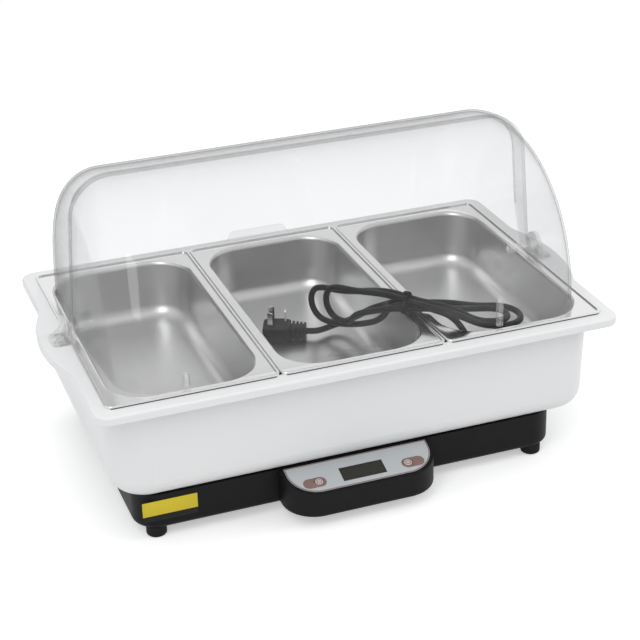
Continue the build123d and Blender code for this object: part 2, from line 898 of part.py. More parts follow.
def thermal_cutout():
    body = disc(cutout_radius, heater_top - cutout_height, heater_top)
    return body + disc(cutout_stem_radius, dish_floor, heater_top - cutout_height + 0.5)


def temperature_probe():
    probe = disc(probe_radius, dish_floor - 4, heater_top, probe_x)
    return fillet(probe.faces().sort_by(Axis.Z)[-1].edges(), 0.8)


def clamp_screws():
    length = heater_top + 1.0 - dish_top
    screw = cross_head_screw(clamp_screw_radius, clamp_head_radius, clamp_head_height, length)
    return Compound(children=[Pos(x, y, dish_top) * screw for x, y in clamp_places()])


# Supply side

def power_post_places():
    x = base_shift + power_board_x
    half_width = power_board_width / 2 - 5
    half_depth = power_board_depth / 2 - 5
    return [(x + i * half_width, j * half_depth) for i in (-1, 1) for j in (-1, 1)]


def power_board_top():
    return base_bottom + plate_thickness + power_post_height + board_thickness


def power_board():
    top = power_board_top()
    x = base_shift + power_board_x
    return block(power_board_width, power_board_depth, top - board_thickness, top, x)


def power_relay():
    top = power_board_top()
    x = base_shift + power_board_x - 14
    relay = block(relay_width, relay_depth, top, top + relay_height, x, 20)
    return fillet(relay.edges().filter_by(Axis.Z), 1.0)


def block_x():
    return base_shift + power_board_x + power_board_width / 2 - block_width / 2


def terminal_block():
    top = power_board_top()
    body = block(block_width, block_depth, top, top + block_height, block_x())
    for i in range(block_ways):
        y = (i - (block_ways - 1) / 2) * block_depth / block_ways
        body -= disc(2.2, top + block_height - 4, top + block_height + 1, block_x(), y)
    return body


def inlet_height_middle():
    return base_bottom + base_height / 2


def appliance_inlet():
    height = inlet_height_middle()
    x = base_shift + inlet_x
    back = -base_front
    face = Plane(origin=(x, back, height), x_dir=(-1, 0, 0), z_dir=(0, 1, 0))
    flange = RectangleRounded(inlet_width + 2 * inlet_flange, inlet_height + 2 * inlet_flange, 2.5)
    body = extrude(face * flange, amount=inlet_flange_thickness)
    body += extrude(face * Rectangle(inlet_width, inlet_height), amount=-inlet_body_depth)
    socket = chamfer(
        Rectangle(socket_width, socket_height).vertices().group_by(Axis.Y)[-1], socket_height * 0.28
    )
    opening = face.offset(inlet_flange_thickness) * socket
    body -= extrude(opening, amount=-socket_depth)
    for px, py in blade_places():
        hole = face * Pos(px, py) * Rectangle(blade_width, blade_thickness)
        body -= extrude(hole, amount=-inlet_body_depth)
    return body


def blade_places():
    return [(-blade_pitch / 2, -blade_raise), (blade_pitch / 2, -blade_raise), (0, blade_raise)]


def inlet_pins():
    face = Plane(
        origin=(base_shift + inlet_x, -base_front, inlet_height_middle()), x_dir=(-1, 0, 0), z_dir=(0, 1, 0)
    )
    floor = inlet_flange_thickness - socket_depth
    pins = []
    for px, py in blade_places():
        outline = Pos(px, py) * Rectangle(blade_width, blade_thickness)
        start = -inlet_body_depth - 3
        pins.append(extrude(face.offset(start) * outline, amount=floor + blade_length - start))
    return Compound(children=pins)


def mains_wires():
    height = inlet_height_middle()
    back = -base_front - inlet_body_depth - 3
    wires = []
    for (px, py), way in zip(blade_places(), (-2.5, -0.5, -1.5)):
        x = base_shift + inlet_x - px
        turn = 4.6 * wire_slack + px * 0.6
        end_y = way * block_depth / block_ways
        wires.append(
            bar(
                wire_radius,
                [
                    (x, back, height + py),
                    (x, turn, height + py),
                    (block_x() + 3 * wire_slack, turn, height + py),
                    (block_x() + 2 * wire_slack, end_y, height + py),
                    (block_x() + block_width / 2, end_y, height + py),
                ],
                8,
            )
        )
    return Compound(children=wires)


def heater_wires():
    low = element_height - terminal_length
    wires = []
    for (x, y), way in zip(terminal_places(), (0.5, 1.5)):
        height = power_board_top() + block_height / 2
        end_y = way * block_depth / block_ways
        wires.append(
            bar(
                wire_radius,
                [
                    (x, y, low),
                    (x, y, height),
                    ((x + block_x()) / 2, (y + end_y) / 2, height),
                    (block_x() + block_width / 2 + 0.3 * wire_slack, end_y, height),
                    (block_x() + block_width / 2, end_y, height),
                ],
                2.2,
            )
        )
    return Compound(children=wires)


def panel_cable():
    height = power_board_top() + block_height / 2
    radius = wire_radius * 1.4
    end_y = -2.25 * block_depth / block_ways
    under_board = board_top - board_thickness - radius * math.tan(math.radians(slope_angle))
    start = (slope * Pos(-20, -lcd_down + board_depth / 2 - 4, under_board)).position
    return bar(
        radius,
        [
            (start.X, start.Y, start.Z),
            (start.X, start.Y, height),
            (start.X, base_front + 1.5 * wire_slack, height),
            (block_x() + 1.5 * wire_slack, base_front + 3 * wire_slack, height),
            (block_x() + wire_slack, end_y, height),
            (block_x() + block_width / 2, end_y, height),
        ],
        4,
    )


# Supply cord

def heading(angle):
    return Vector(math.cos(math.radians(angle)), math.sin(math.radians(angle)), 0)


def waist_slot(column, layer):
    """The place in the tied waist of one strand: columns side by side, two crossing layers."""
    across_waist = heading((over_heading if layer else under_heading) + 90)
    return Vector(*tie_place, waist_height + layer * layer_rise) + across_waist * (column * cord_spacing)


def lobe(centre, radius, along, side):
    """Places and headings of one loop: out on one side, round its far end, back on the other."""
    return [
        (centre + side * radius, along),
        (centre + along * radius, side * -1),
        (centre - side * radius, along * -1),
    ]


def left_lobe(i):
    """A loop that stands on edge in its strand's own upright plane."""
    level = heading(over_heading + 180)
    along = (level + Vector(0, 0, left_slope)).normalized()
    upright = Vector(-level.X * along.Z, -level.Y * along.Z, level.dot(along))
    foot = waist_slot(over_columns[i], 1) + level * left_reaches[i]
    return lobe(Vector(foot.X, foot.Y, left_heights[i]), left_radii[i], along, upright)


def return_place(i):
    """A place on the strand that comes back under its loop, bowed out to the front."""
    level = heading(over_heading + 180)
    bow = heading(over_heading - 90) * return_bows[i]
    foot = waist_slot(over_columns[i], 1) + level * return_reach + bow
    return Vector(foot.X, foot.Y, return_heights[i])


def right_lobe(i):
    """A loop that lies flat over the right pan."""
    level = heading(right_heading)
    along = (level + Vector(0, 0, right_slope)).normalized()
    return lobe(Vector(*right_centres[i]), right_radii[i], along, Vector(-level.Y, level.X, 0))


def past_seam(slot):
    """The place where a strand that leaves the waist has passed the next pan's lip."""
    along = heading(under_heading)
    return slot + along * ((seam_clear_x - slot.X) / along.X)


def through(places):
    """Each place with a heading from the place before it to the place after it."""
    return [
        (place, (after - before).normalized())
        for before, place, after in zip(places, places[1:], places[2:])
    ]


def biarc(start, start_heading, end, end_heading):
    """Two tangent arcs from one place and heading to another."""
    t0 = start_heading.normalized()
    t1 = end_heading.normalized()
    chord = end - start
    total = t0 + t1
    a = 2 * (1 - t0.dot(t1))
    b = 2 * chord.dot(total)
    c = -chord.dot(chord)
    if abs(a) < 1e-9:
        reach = -c / b
    else:
        reach = (-b + math.sqrt(b * b - 4 * a * c)) / (2 * a)
    first = start + t0 * reach
    second = end - t1 * reach
    middle = (first + second) / 2
    return [arc_or_line(start, t0, middle), arc_or_line(middle, second - first, end)]


def arc_or_line(start, start_heading, end):
    off_line = start_heading.normalized().cross((end - start).normalized()).length
    if off_line < 1e-4:
        return Edge.make_line(start, end)
    return Edge.make_tangent_arc(start, start_heading.normalized(), end)


def cord_stations():
    """The cord from the plug's boot to the connector, as places and headings."""
    diameter = 2 * cord_radius
    plug_out = heading(plug_heading)
    plug_exit = Vector(*plug_end_place, plug_axis_height())
    straight_end = plug_exit + plug_out * diameter
    under = heading(under_heading)
    over = heading(over_heading + 180)
    slot = waist_slot(lead_column, 0)
    stations = [(plug_exit, plug_out), (straight_end, plug_out)]
    stations += through([straight_end] + [Vector(*place) for place in lead_places] + [slot])
    for i in range(len(over_columns)):
        stations += [(slot, under), (past_seam(slot), under)]
        stations += right_lobe(i)
        crossing = waist_slot(over_columns[i], 1)
        stations += [(Vector(*return_places[i]), (crossing - Vector(*return_places[i])).normalized())]
        stations += [(crossing, over)]
        stations += left_lobe(i)
        slot = waist_slot(under_columns[i], 0)
        stations += through([stations[-1][0], return_place(i), slot])
    into = heading(connector_heading)
    socket = Vector(*connector_place, connector_axis_height())
    drop = Vector(0, 0, -tail_drop)
    stations += [
        (slot, under),
        (past_seam(slot) + drop, under + drop / (2 * diameter)),
        (socket - into * diameter, into),
        (socket, into),
    ]
    return stations


def plug_axis_height():
    return pan_sheet - pan_depth + plug_thickness / 2


def connector_axis_height():
    return pan_sheet - pan_depth + connector_thickness / 2


def cord_path():
    stations = cord_stations()
    edges = []
    for (start, start_heading), (end, end_heading) in zip(stations, stations[1:]):
        edges += biarc(start, start_heading, end, end_heading)
    return edges


def cord_hank():
    edges = cord_path()
    path = Wire(edges)
    section = Plane(origin=edges[0] @ 0, z_dir=edges[0] % 0) * Circle(cord_radius)
    return sweep(section, path=path)


def print_cord_facts(edges, tube):
    radii = [edge.radius for edge in edges if edge.geom_type == GeomType.CIRCLE]
    length = sum(edge.length for edge in edges)
    print("cord length", round(length), "least bend radius", round(min(radii), 1))
    print("all bend radii", [round(radius) for radius in radii])
    print("cord volume over section times length",
          round(tube.volume / (length * math.pi * cord_radius ** 2), 5))
    step = 2.0
    points = []
    run = 0.0
    for edge in edges:
        count = max(2, int(edge.length / step))
        for i in range(count):
            points.append((run + edge.length * i / count, edge @ (i / count)))
        run += edge.length
    least = min(
        (a - b).length
        for i, (place, a) in enumerate(points)
        for other, b in points[i + 1:]
        if other - place > 4 * cord_radius
    )
    print("least gap of the cord to itself", round(least - 2 * cord_radius, 2))


def plug_plane():
    """At the plug's cord end, on its axis: x along the plug towards its nose, z up."""
    return Plane(
        origin=(*plug_end_place, plug_axis_height()), x_dir=heading(plug_heading) * -1, z_dir=(0, 0, 1)
    )


def plug_pin_places():
    nose = boot_length + plug_length
    return [(nose - 9.0, -8.0, 30.0), (nose - 9.0, 8.0, -30.0), (nose - 25.0, 0.0, 90.0)]


def cord_plug():
    half = plug_thickness / 2
    nose = boot_length + plug_length
    outline = Polygon(
        (boot_length, -plug_width * 0.4),
        (boot_length + 6, -plug_width / 2),
        (nose - 5, -plug_width / 2),
        (nose, -plug_width * 0.4),
        (nose, plug_width * 0.4),
        (nose - 5, plug_width / 2),
        (boot_length + 6, plug_width / 2),
        (boot_length, plug_width * 0.4),
        align=None,
    )
    outline = fillet(outline.vertices(), 2.0)
    body = extrude(Plane.XY.offset(-half) * outline, amount=plug_thickness)
    body = fillet(body.faces().sort_by(Axis.Z)[-1].edges(), 1.5)
    boot = extrude(Plane(origin=(0, 0, 0), x_dir=(0, 1, 0), z_dir=(1, 0, 0)) * RectangleRounded(
        plug_width * 0.55, plug_thickness * 0.75, 4.0), amount=boot_length + 1)
    plug = body + boot
    ribs = 4
    rib_pitch = boot_length / ribs
    for i in range(ribs):
        rib = Plane(origin=(i * rib_pitch, 0, 0), x_dir=(0, 1, 0), z_dir=(1, 0, 0))
        grown = 0.55 + 0.08 * i
        size = RectangleRounded(plug_width * grown + 3, plug_thickness * 0.75 + 2.4, 4.5)
        plug += extrude(rib * size, amount=rib_pitch * 0.55)
    for x, y, turn in plug_pin_places():
        plug -= Pos(x, y, 0) * Rot(0, 0, turn) * block(6.4, 1.6, -1, half + 1)
    return plug_plane().location * plug


def plug_pins():
    half = plug_thickness / 2
    pins = []
    for x, y, turn in plug_pin_places():
        blade = block(6.4, 1.6, -1, half + plug_pin_length)
        blade = fillet(blade.faces().sort_by(Axis.Z)[-1].edges().filter_by(Axis.Y), 1.5)
        pins.append(plug_plane().location * Pos(x, y, 0) * Rot(0, 0, turn) * blade)
    return Compound(children=pins)


def waist_plane():
    """Square to the middle of the strands' two headings, with its y upwards."""
    middle = (under_heading + over_heading) / 2
    return Plane(origin=(*tie_place, waist_height), x_dir=heading(middle + 90), z_dir=heading(middle))


def cord_tie():
    """A strip wound round the five strands, with its twisted ends standing up."""
    lean = math.radians(abs(under_heading - over_heading) / 2)
    clear = cord_radius / math.cos(lean) + tie_width / 2 * math.tan(lean) + running_clearance
    pitch = cord_spacing / math.cos(lean)
    low = [(column * pitch, 0) for column in (lead_column, *under_columns)]
    high = [(column * pitch, layer_rise) for column in over_columns]
    inside = [edge for place in low + high for edge in (Pos(*place) * Circle(clear)).edges()]
    outside = [edge for place in low + high for edge in (Pos(*place) * Circle(clear + tie_thickness)).edges()]
    strip = extrude(waist_plane() * (make_hull(outside) - make_hull(inside)), amount=tie_width / 2, both=True)
    twist = Pos(0, layer_rise + clear + tie_thickness + twist_radius * 0.6) * Circle(twist_radius)
    return strip + extrude(waist_plane() * twist, amount=tie_width * 0.8, both=True)


def connector_plane():
    return Plane(
        origin=(*connector_place, connector_axis_height()), x_dir=heading(connector_heading), z_dir=(0, 0, 1)
    )


def cord_connector():
    half = connector_thickness / 2
    body = block(connector_length * 0.7, connector_width, -half, half, connector_length * 0.65)
    body = fillet(body.edges().filter_by(Axis.X), 2.0)
    boot = extrude(Plane(origin=(0, 0, 0), x_dir=(0, 1, 0), z_dir=(1, 0, 0)) * Circle(6.5),
                   amount=connector_length * 0.35)
    connector = body + boot
    for y, z in ((-blade_pitch / 2, -blade_raise), (blade_pitch / 2, -blade_raise), (0, blade_raise)):
        slot = Plane(origin=(connector_length, y, z), x_dir=(0, 1, 0), z_dir=(-1, 0, 0))
        connector -= extrude(slot * Rectangle(blade_width + 1, blade_thickness + 1), amount=16)
    return connector_plane().location * connector


# Write every piece as its own file

def write(name, shape):
    placed = shape.moved(Location((0, -middle_y, lift)))
    placed.label = name
    export_step(placed, f"parts/{name}.step")


def main():
    os.makedirs("parts", exist_ok=True)
    pans = {"left": -pan_pitch, "middle": 0.0, "right": pan_pitch}
    for name, x in pans.items():
        write(f"food_pan_{name}", food_pan(x))
    for name, side in {"left": -1, "right": 1}.items():
        write(f"hinge_bracket_{name}", hinge_bracket(side))
        write(f"hinge_pin_{name}", hinge_pin(side))
        write(f"hinge_cap_{name}", hinge_cap(side))
    write("power_button", push_button(1))
    write("set_button", push_button(-1))
    pieces = [
        water_basin, rear_cover, front_cover, cover_pegs, base_housing, bottom_plate, rubber_feet,
        foot_screws, plate_screws, control_housing, control_panel, lcd_display, button_switches,
        control_board, board_screws, module_screws, heating_plate, plate_gasket, heating_element,
        clamp_dish, insulation_pad, thermal_cutout, temperature_probe, clamp_screws, power_board,
        power_relay, terminal_block, appliance_inlet, inlet_pins, mains_wires, heater_wires,
        panel_cable, cord_plug, plug_pins, cord_tie, cord_connector,
    ]
    for piece in pieces:
        write(piece.__name__, piece())
    tube = cord_hank()
    write("cord_hank", tube)
    print_cord_facts(cord_path(), tube)


main()
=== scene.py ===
import math

import bmesh
import bpy
from mathutils import Matrix, Vector


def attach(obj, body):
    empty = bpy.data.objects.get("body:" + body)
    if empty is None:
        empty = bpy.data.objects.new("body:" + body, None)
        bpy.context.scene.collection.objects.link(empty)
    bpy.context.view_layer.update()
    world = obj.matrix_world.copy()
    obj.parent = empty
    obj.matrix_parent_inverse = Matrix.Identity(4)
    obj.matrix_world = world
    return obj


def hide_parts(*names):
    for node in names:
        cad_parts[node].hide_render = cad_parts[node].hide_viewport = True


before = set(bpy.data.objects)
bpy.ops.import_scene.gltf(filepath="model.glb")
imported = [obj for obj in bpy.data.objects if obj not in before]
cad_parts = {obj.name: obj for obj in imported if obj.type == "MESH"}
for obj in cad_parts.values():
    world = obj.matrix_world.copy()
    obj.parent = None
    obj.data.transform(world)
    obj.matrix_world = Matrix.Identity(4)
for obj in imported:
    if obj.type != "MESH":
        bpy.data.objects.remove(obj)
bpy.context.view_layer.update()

bl_info = {
    "name": "Buffet warmer",
    "version": (1, 0, 0),
    "blender": (4, 5, 0),
    "location": "3D View > Sidebar > Warmer",
    "description": "Builds a three-pan electric buffet warmer around its packed model",
    "category": "Object",
}

MM = 0.001

# The warmer's places are drawn from the middle of the pans' flange, in millimetres. It lies this
# far above the feet and behind the middle of the shared frame
FLANGE_HEIGHT = 166.0
FLANGE_BACK = 6.5

# The sloped face of the control module, from the flange
SLOPE_MIDDLE = (-9.0, -148.0, -114.0)
SLOPE_ANGLE = math.radians(16.82)
# How far the panel and the buttons stand out of it, and how far up it the buttons lie
PANEL_FACE = 0.4
BUTTON_FACE = 1.4
BUTTON_ROW = -27.7
# Each button's name, its place across the slope and its pad's
BUTTONS = (("set", -48.3, -52.8), ("power", 48.3, 53.9))

# The supply cord's route from the connector in the right pan to the plug in the middle one
CORD_ROUTE = (
    (178.0, -112.0, -54.5),
    (176.3, -112.1, -54.5),
    (172.9, -112.2, -54.5),
    (144.9, -113.2, -54.5),
    (126.5, -103.6, -6.2),
    (97.8, -90.8, 5.4),
    (84.7, -85.0, 7.9),
    (61.9, -74.8, 7.9),
    (60.6, -52.6, -19.4),
    (46.6, -24.2, -34.5),
    (35.0, 6.8, -45.7),
    (22.9, 29.4, -48.2),
    (16.9, 40.8, -37.7),
    (16.1, 42.2, -21.2),
    (21.1, 33.0, -8.4),
    (39.4, -1.4, -4.5),
    (66.8, -53.0, 15.4),
    (85.5, -88.2, 15.4),
    (97.2, -101.8, 15.4),
    (112.9, -123.1, 15.4),
    (141.3, -121.8, -5.1),
    (164.5, -127.6, -6.3),
    (175.5, -121.0, -6.8),
    (178.6, -108.5, -6.8),
    (172.0, -97.5, -6.3),
    (148.5, -91.7, -5.1),
    (120.2, -108.9, 7.9),
    (96.7, -98.4, 7.9),
    (82.2, -92.0, 7.9),
    (60.8, -82.5, 7.9),
    (49.3, -56.5, -4.4),
    (37.9, -34.0, -16.2),
    (39.2, -16.9, -34.2),
    (29.6, 1.1, -36.2),
    (23.7, 12.2, -26.0),
    (23.0, 13.6, -9.9),
    (27.8, 4.5, 2.6),
    (42.4, -23.0, 5.7),
    (63.8, -63.2, 15.4),
    (79.8, -93.3, 15.4),
    (93.7, -109.8, 14.7),
    (111.4, -134.1, 14.1),
    (143.5, -129.6, -7.0),
    (171.8, -136.7, -8.5),
    (188.9, -126.4, -9.2),
    (193.7, -107.2, -9.2),
    (183.4, -90.1, -8.5),
    (155.3, -83.1, -7.0),
    (121.5, -93.3, 7.9),
    (98.3, -82.9, 7.9),
    (86.8, -77.8, 7.9),
    (66.4, -68.7, 7.9),
    (72.4, -41.2, -7.1),
    (63.9, -15.7, -22.4),
    (58.0, 6.5, -40.2),
    (49.0, 21.0, -51.4),
    (37.0, 25.0, -55.4),
    (24.5, 22.5, -56.5),
    (14.5, 18.6, -55.5),
    (7.4, 21.1, -55.5),
    (2.7, 23.1, -55.5),
)


def from_pans(x, y, z):
    """A place measured in millimetres from the pans' flange, in the shared frame."""
    return Vector((x, y + FLANGE_BACK, z + FLANGE_HEIGHT)) * MM


def slope_placement(across, up, proud):
    """Where something lies on the sloped face: millimetres across, up the slope and out of it."""
    along = Vector((0, math.cos(SLOPE_ANGLE), math.sin(SLOPE_ANGLE)))
    out = Vector((0, -math.sin(SLOPE_ANGLE), math.cos(SLOPE_ANGLE)))
    right = Vector((1, 0, 0))
    place = from_pans(*SLOPE_MIDDLE) + (right * across + along * up + out * proud) * MM
    turn = Matrix((right, along, out)).transposed().to_4x4()
    return Matrix.Translation(place) @ turn


# Sizes and colours that a user may change


def length(label, description, default):
    """A size in metres."""
    return bpy.props.FloatProperty(
        name=label, description=description, default=default, unit="LENGTH"
    )


class WarmerSizes(bpy.types.PropertyGroup):
    pan_width: length("Pan width", "Over the flange, side to side", 0.1755)
    pan_length: length("Pan length", "Over the flange, front to back", 0.325)
    pan_pitch: length("Pan pitch", "From the middle of one pan to the next", 0.176)
    pan_depth: length("Pan depth", "From the flange to the floor inside", 0.064)
    pan_corner: length("Pan mouth corner", "Radius of the mouth's corners", 0.045)
    pan_sheet: length("Pan sheet", "Thickness of the steel", 0.001)
    cord_diameter: length("Cord diameter", "Over the sleeve", 0.0068)
    label_width: length("Label width", "Blank plate on the base", 0.0567)
    label_height: length("Label height", "Blank plate on the base", 0.0225)
    pad_width: length("Pad width", "Tinted pad round each button", 0.0245)
    pad_height: length("Pad height", "Tinted pad round each button", 0.0128)
    button_radius: length("Button radius", "Round push button", 0.00575)


def colour(label, description, default):
    """A colour, as red, green and blue light from 0 to 1."""
    return bpy.props.FloatVectorProperty(
        name=label,
        description=description,
        default=default,
        subtype="COLOR",
        size=3,
        min=0.0,
        max=1.0,
    )


class WarmerColours(bpy.types.PropertyGroup):
    steel: colour("Steel", "Drawn stainless sheet of the pans", (0.72, 0.72, 0.72))
    white: colour("White plastic", "Moulded basin", (0.80, 0.80, 0.80))
    black: colour("Black plastic", "Base and control module", (0.007, 0.007, 0.0075))
    clear: colour("Clear plastic", "Light that passes each face", (0.952, 0.953, 0.954))
    haze: colour("Clear plastic haze", "Milky cast of the covers", (0.25, 0.25, 0.25))
    panel: colour("Panel", "Sheet on the control module", (0.50, 0.525, 0.54))
    display: colour("Display", "Dark window", (0.024, 0.023, 0.018))
    pad: colour("Pad", "Tint round the buttons", (0.23, 0.145, 0.13))
    button: colour("Button", "Cap of each button", (0.56, 0.43, 0.41))
    label: colour("Label", "Blank plate on the base", (0.66, 0.52, 0.035))
    cord: colour("Cord", "Sleeve, plug and connector", (0.009, 0.009, 0.0095))
    pins: colour("Pins", "Plated pins", (0.74, 0.73, 0.70))


# Materials


WHITE = (1.0, 1.0, 1.0, 1.0)


class Value:
    """A value inside a material. Sums on it add the nodes that work them out."""

    def __init__(self, finish, socket):
        self.finish = finish
        self.socket = socket

    def maths(self, operation, first, second):
        """The value that one sum gives."""
        return self.finish.node("ShaderNodeMath", {"operation": operation}, {0: first, 1: second})

    def __add__(self, other):
        return self.maths("ADD", self, other)

    def __sub__(self, other):
        return self.maths("SUBTRACT", self, other)

    def __rsub__(self, other):
        return self.maths("SUBTRACT", other, self)

    def __mul__(self, other):
        return self.maths("MULTIPLY", self, other)

    def __pow__(self, other):
        return self.maths("POWER", self, other)

    def __gt__(self, other):
        return self.maths("GREATER_THAN", self, other)

    def __lt__(self, other):
        return self.maths("LESS_THAN", self, other)

    __radd__ = __add__
    __rmul__ = __mul__


class Finish:
    """A material, or the room round it, under construction."""

    def __init__(self, name, kept_in=None):
        kept_in = bpy.data.materials if kept_in is None else kept_in
        self.owner = kept_in.new(name)
        self.owner.use_nodes = True
        self.tree = self.owner.node_tree
        self.tree.nodes.clear()

    def node(self, kind, settings=None, inputs=None, output=0):
        """Adds one node: its settings first, then the values or links of its sockets."""
        made = self.tree.nodes.new(kind)
        for name, value in (settings or {}).items():
            setattr(made, name, value)
        for name, value in (inputs or {}).items():
            if isinstance(value, Value):
                self.tree.links.new(value.socket, made.inputs[name])
            else:
                made.inputs[name].default_value = value
        return Value(self, made.outputs[output]) if made.outputs else None

    def places(self, stretch=(1.0, 1.0, 1.0)):
        """Places on the piece in metres, stretched."""
        coordinates = self.node("ShaderNodeTexCoord", output="Object")
        return self.node(
            "ShaderNodeVectorMath", {"operation": "MULTIPLY"}, {0: coordinates, 1: stretch}
        )

    def along(self, axis):
        """How far a place on the piece lies along X, Y or Z, in metres."""
        return self.node("ShaderNodeSeparateXYZ", None, {"Vector": self.places()}, output=axis)

    def cloud(self, per_metre, detail=2.0, roughness=0.5, stretch=(1.0, 1.0, 1.0)):
        """Soft noise from 0 to 1, with about that many spots to the metre."""
        sockets = {
            "Vector": self.places(stretch),
            "Scale": per_metre,
            "Detail": detail,
            "Roughness": roughness,
        }
        return self.node("ShaderNodeTexNoise", None, sockets)

    def between(self, factor, first, second):
        """A colour part of the way from one to another."""
        ends = {0: factor, 6: opaque(first), 7: opaque(second)}
        return self.node("ShaderNodeMix", {"data_type": "RGBA"}, ends, output=2)

    def bump(self, height, depth, strength=1.0):
        """A surface that rises by up to depth metres."""
        sockets = {"Strength": strength, "Distance": depth, "Height": height}
        return self.node("ShaderNodeBump", None, sockets)

    def mixed(self, factor, first, second):
        """A shader part of the way from one to another."""
        return self.node("ShaderNodeMixShader", None, {0: factor, 1: first, 2: second})

    def glow(self, shade, strength=1.0):
        """A shader that only gives off light."""
        sockets = {"Color": opaque(shade), "Strength": strength}
        return self.node("ShaderNodeEmission", None, sockets)

    def surface(self, **sockets):
        """The plain shader, with its sockets' names written as small_words."""
        named = {}
        for name, value in sockets.items():
            named[name.replace("_", " ").title().replace("Ior", "IOR")] = value
        return self.node("ShaderNodeBsdfPrincipled", None, named)

    def close(self, shader):
        """The finished material, ending in that shader."""
        self.node("ShaderNodeOutputMaterial", None, {"Surface": shader})
        return self.owner


def opaque(shade):
    """A colour as a socket takes it, with no see-through part."""
    return shade if isinstance(shade, Value) else (*tuple(shade)[:3], 1.0)


def scaled(shade, amount):
    """A lighter or darker version of a colour."""
    return tuple(min(part * amount, 1.0) for part in tuple(shade)[:3])


def made_once(make):
    """Each finish is made the first time that a piece asks for it."""
    kept = {}

    def finish(*details):
        if details not in kept:
            kept[details] = make(*details)
        return kept[details]

    return finish


@made_once
def drawn_steel():
    """Satin stainless sheet, clouded by its deep draw, with painted light on its smoother flange
    and bead, painted shade in the drawn pan and a painted shadow line under the front bead.
    """
    shade = bpy.context.scene.warmer_colours.steel
    finish = Finish("drawn_steel")
    clouding = finish.cloud(14.0, 3.0)
    lines = finish.cloud(26.0, 3.0, 0.5, (14.0, 1.0, 5.0))
    grain = finish.cloud(2200.0, 2.0)
    # Drawn walls and floor: random clouding, painted darker than the steel as painted shade inside
    # the pan
    drawn = finish.between(clouding * 0.6 + lines * 0.4, scaled(shade, 0.82), scaled(shade, 0.95))
    flange_foot = from_pans(0, 0, -1.2).z
    bead_foot = from_pans(0, 0, 0.1).z
    bead_front = from_pans(0, -161.8, 0).y
    height = finish.along("Z")
    flange = height > flange_foot
    # Painted shadow line, nearly black, along the foot of the front bead
    painted_shadow_line = (1.0 - (height > bead_foot)) * (1.0 - (finish.along("Y") > bead_front))
    # Flange and bead painted lighter than the drawn walls, a painted light on the rim; they are
    # also made smoother below
    painted_lit_flange = finish.between(flange, drawn, scaled(shade, 1.12))
    base = finish.between(painted_shadow_line, painted_lit_flange, scaled(shade, 0.08))
    roughness = 0.29 + clouding * 0.06 + lines * 0.03 - flange * 0.18
    relief = finish.bump(lines * 0.3 + grain * 0.7, 0.000008, 0.4)
    return finish.close(
        finish.surface(base_color=base, metallic=1.0, roughness=roughness, normal=relief)
    )


@made_once
def white_plastic():
    """Moulded white plastic with a satin skin."""
    shade = bpy.context.scene.warmer_colours.white
    finish = Finish("white_plastic")
    clouding = finish.cloud(9.0, 2.0)
    skin = finish.cloud(1400.0, 2.0)
    base = finish.between(clouding, scaled(shade, 0.985), scaled(shade, 1.015))
    roughness = 0.30 + clouding * 0.06 + skin * 0.04
    relief = finish.bump(skin, 0.00002, 0.4)
    return finish.close(
        finish.surface(
            base_color=base, roughness=roughness, normal=relief, specular_ior_level=0.45
        )
    )


@made_once
def black_plastic():
    """Moulded black plastic with a fine spark-eroded grain."""
    shade = bpy.context.scene.warmer_colours.black
    finish = Finish("black_plastic")
    grain = finish.cloud(1500.0, 3.0, 0.6)
    rub = finish.cloud(30.0, 3.0)
    base = finish.between(rub, scaled(shade, 0.9), scaled(shade, 1.35))
    roughness = 0.40 + rub * 0.08 + grain * 0.08
    relief = finish.bump(grain, 0.00006, 0.6)
    return finish.close(
        finish.surface(base_color=base, roughness=roughness, normal=relief, specular_ior_level=0.12)
    )


def clear_shader(finish, tint, cloudy, veil, relief, glare):
    """Light passes straight through, except where the veil or the glare takes over."""
    through = finish.node("ShaderNodeBsdfTransparent", None, {"Color": opaque(tint)})
    shine = finish.surface(base_color=WHITE, metallic=1.0, roughness=0.05, normal=relief)
    milk = finish.node("ShaderNodeBsdfDiffuse", None, {"Color": opaque(cloudy)})
    return finish.mixed(glare, finish.mixed(veil, through, milk), shine)


def slant_to_eye(finish):
    """Nought where a face looks at the eye, up to one where it turns away."""
    return finish.node("ShaderNodeLayerWeight", None, {"Blend": 0.5}, output="Facing")


@made_once
def clear_cover(name, edge_from, edge_to, above):
    """Clear moulded cover. Its cut edge, between two places front to back, looks darker."""
    colours = bpy.context.scene.warmer_colours
    finish = Finish(name)
    flow = finish.cloud(16.0, 2.0, 0.5, (1.0, 1.0, 0.35))
    relief = finish.bump(flow, 0.0004, 0.10)
    slant = slant_to_eye(finish)
    back = finish.along("Y")
    edge = (back > edge_from) * (back < edge_to) * (finish.along("Z") > above)
    veil = 0.006 + slant ** 2.5 * 0.15 + slant ** 9.0 * 0.70 + flow * 0.006 + edge * 0.20
    glare = 0.02 + slant ** 5.0 * 0.16
    return finish.close(clear_shader(finish, colours.clear, colours.haze, veil, relief, glare))


@made_once
def clear_fitting():
    """Clear moulded pegs, brackets and pins, which catch more light than the thin covers."""
    finish = Finish("clear_fitting")
    flow = finish.cloud(90.0, 2.0)
    relief = finish.bump(flow, 0.0003, 0.2)
    slant = slant_to_eye(finish)
    veil = 0.01 + slant ** 3.0 * 0.24 + flow * 0.02
    glare = 0.12 + slant ** 2.0 * 0.60
    tint = (0.985, 0.985, 0.985)
    cloudy = (0.70, 0.70, 0.70)
    return finish.close(clear_shader(finish, tint, cloudy, veil, relief, glare))


@made_once
def panel_sheet():
    """Pale printed sheet with a soft silvery sheen."""
    shade = bpy.context.scene.warmer_colours.panel
    finish = Finish("panel_sheet")
    fleck = finish.cloud(1800.0, 2.0)
    sweep = finish.cloud(12.0, 1.0)
    base = finish.between(sweep * 0.8 + fleck * 0.2, scaled(shade, 0.94), scaled(shade, 1.08))
    roughness = 0.34 + fleck * 0.10
    relief = finish.bump(fleck, 0.00002, 0.5)
    return finish.close(
        finish.surface(base_color=base, metallic=0.15, roughness=roughness, normal=relief)
    )


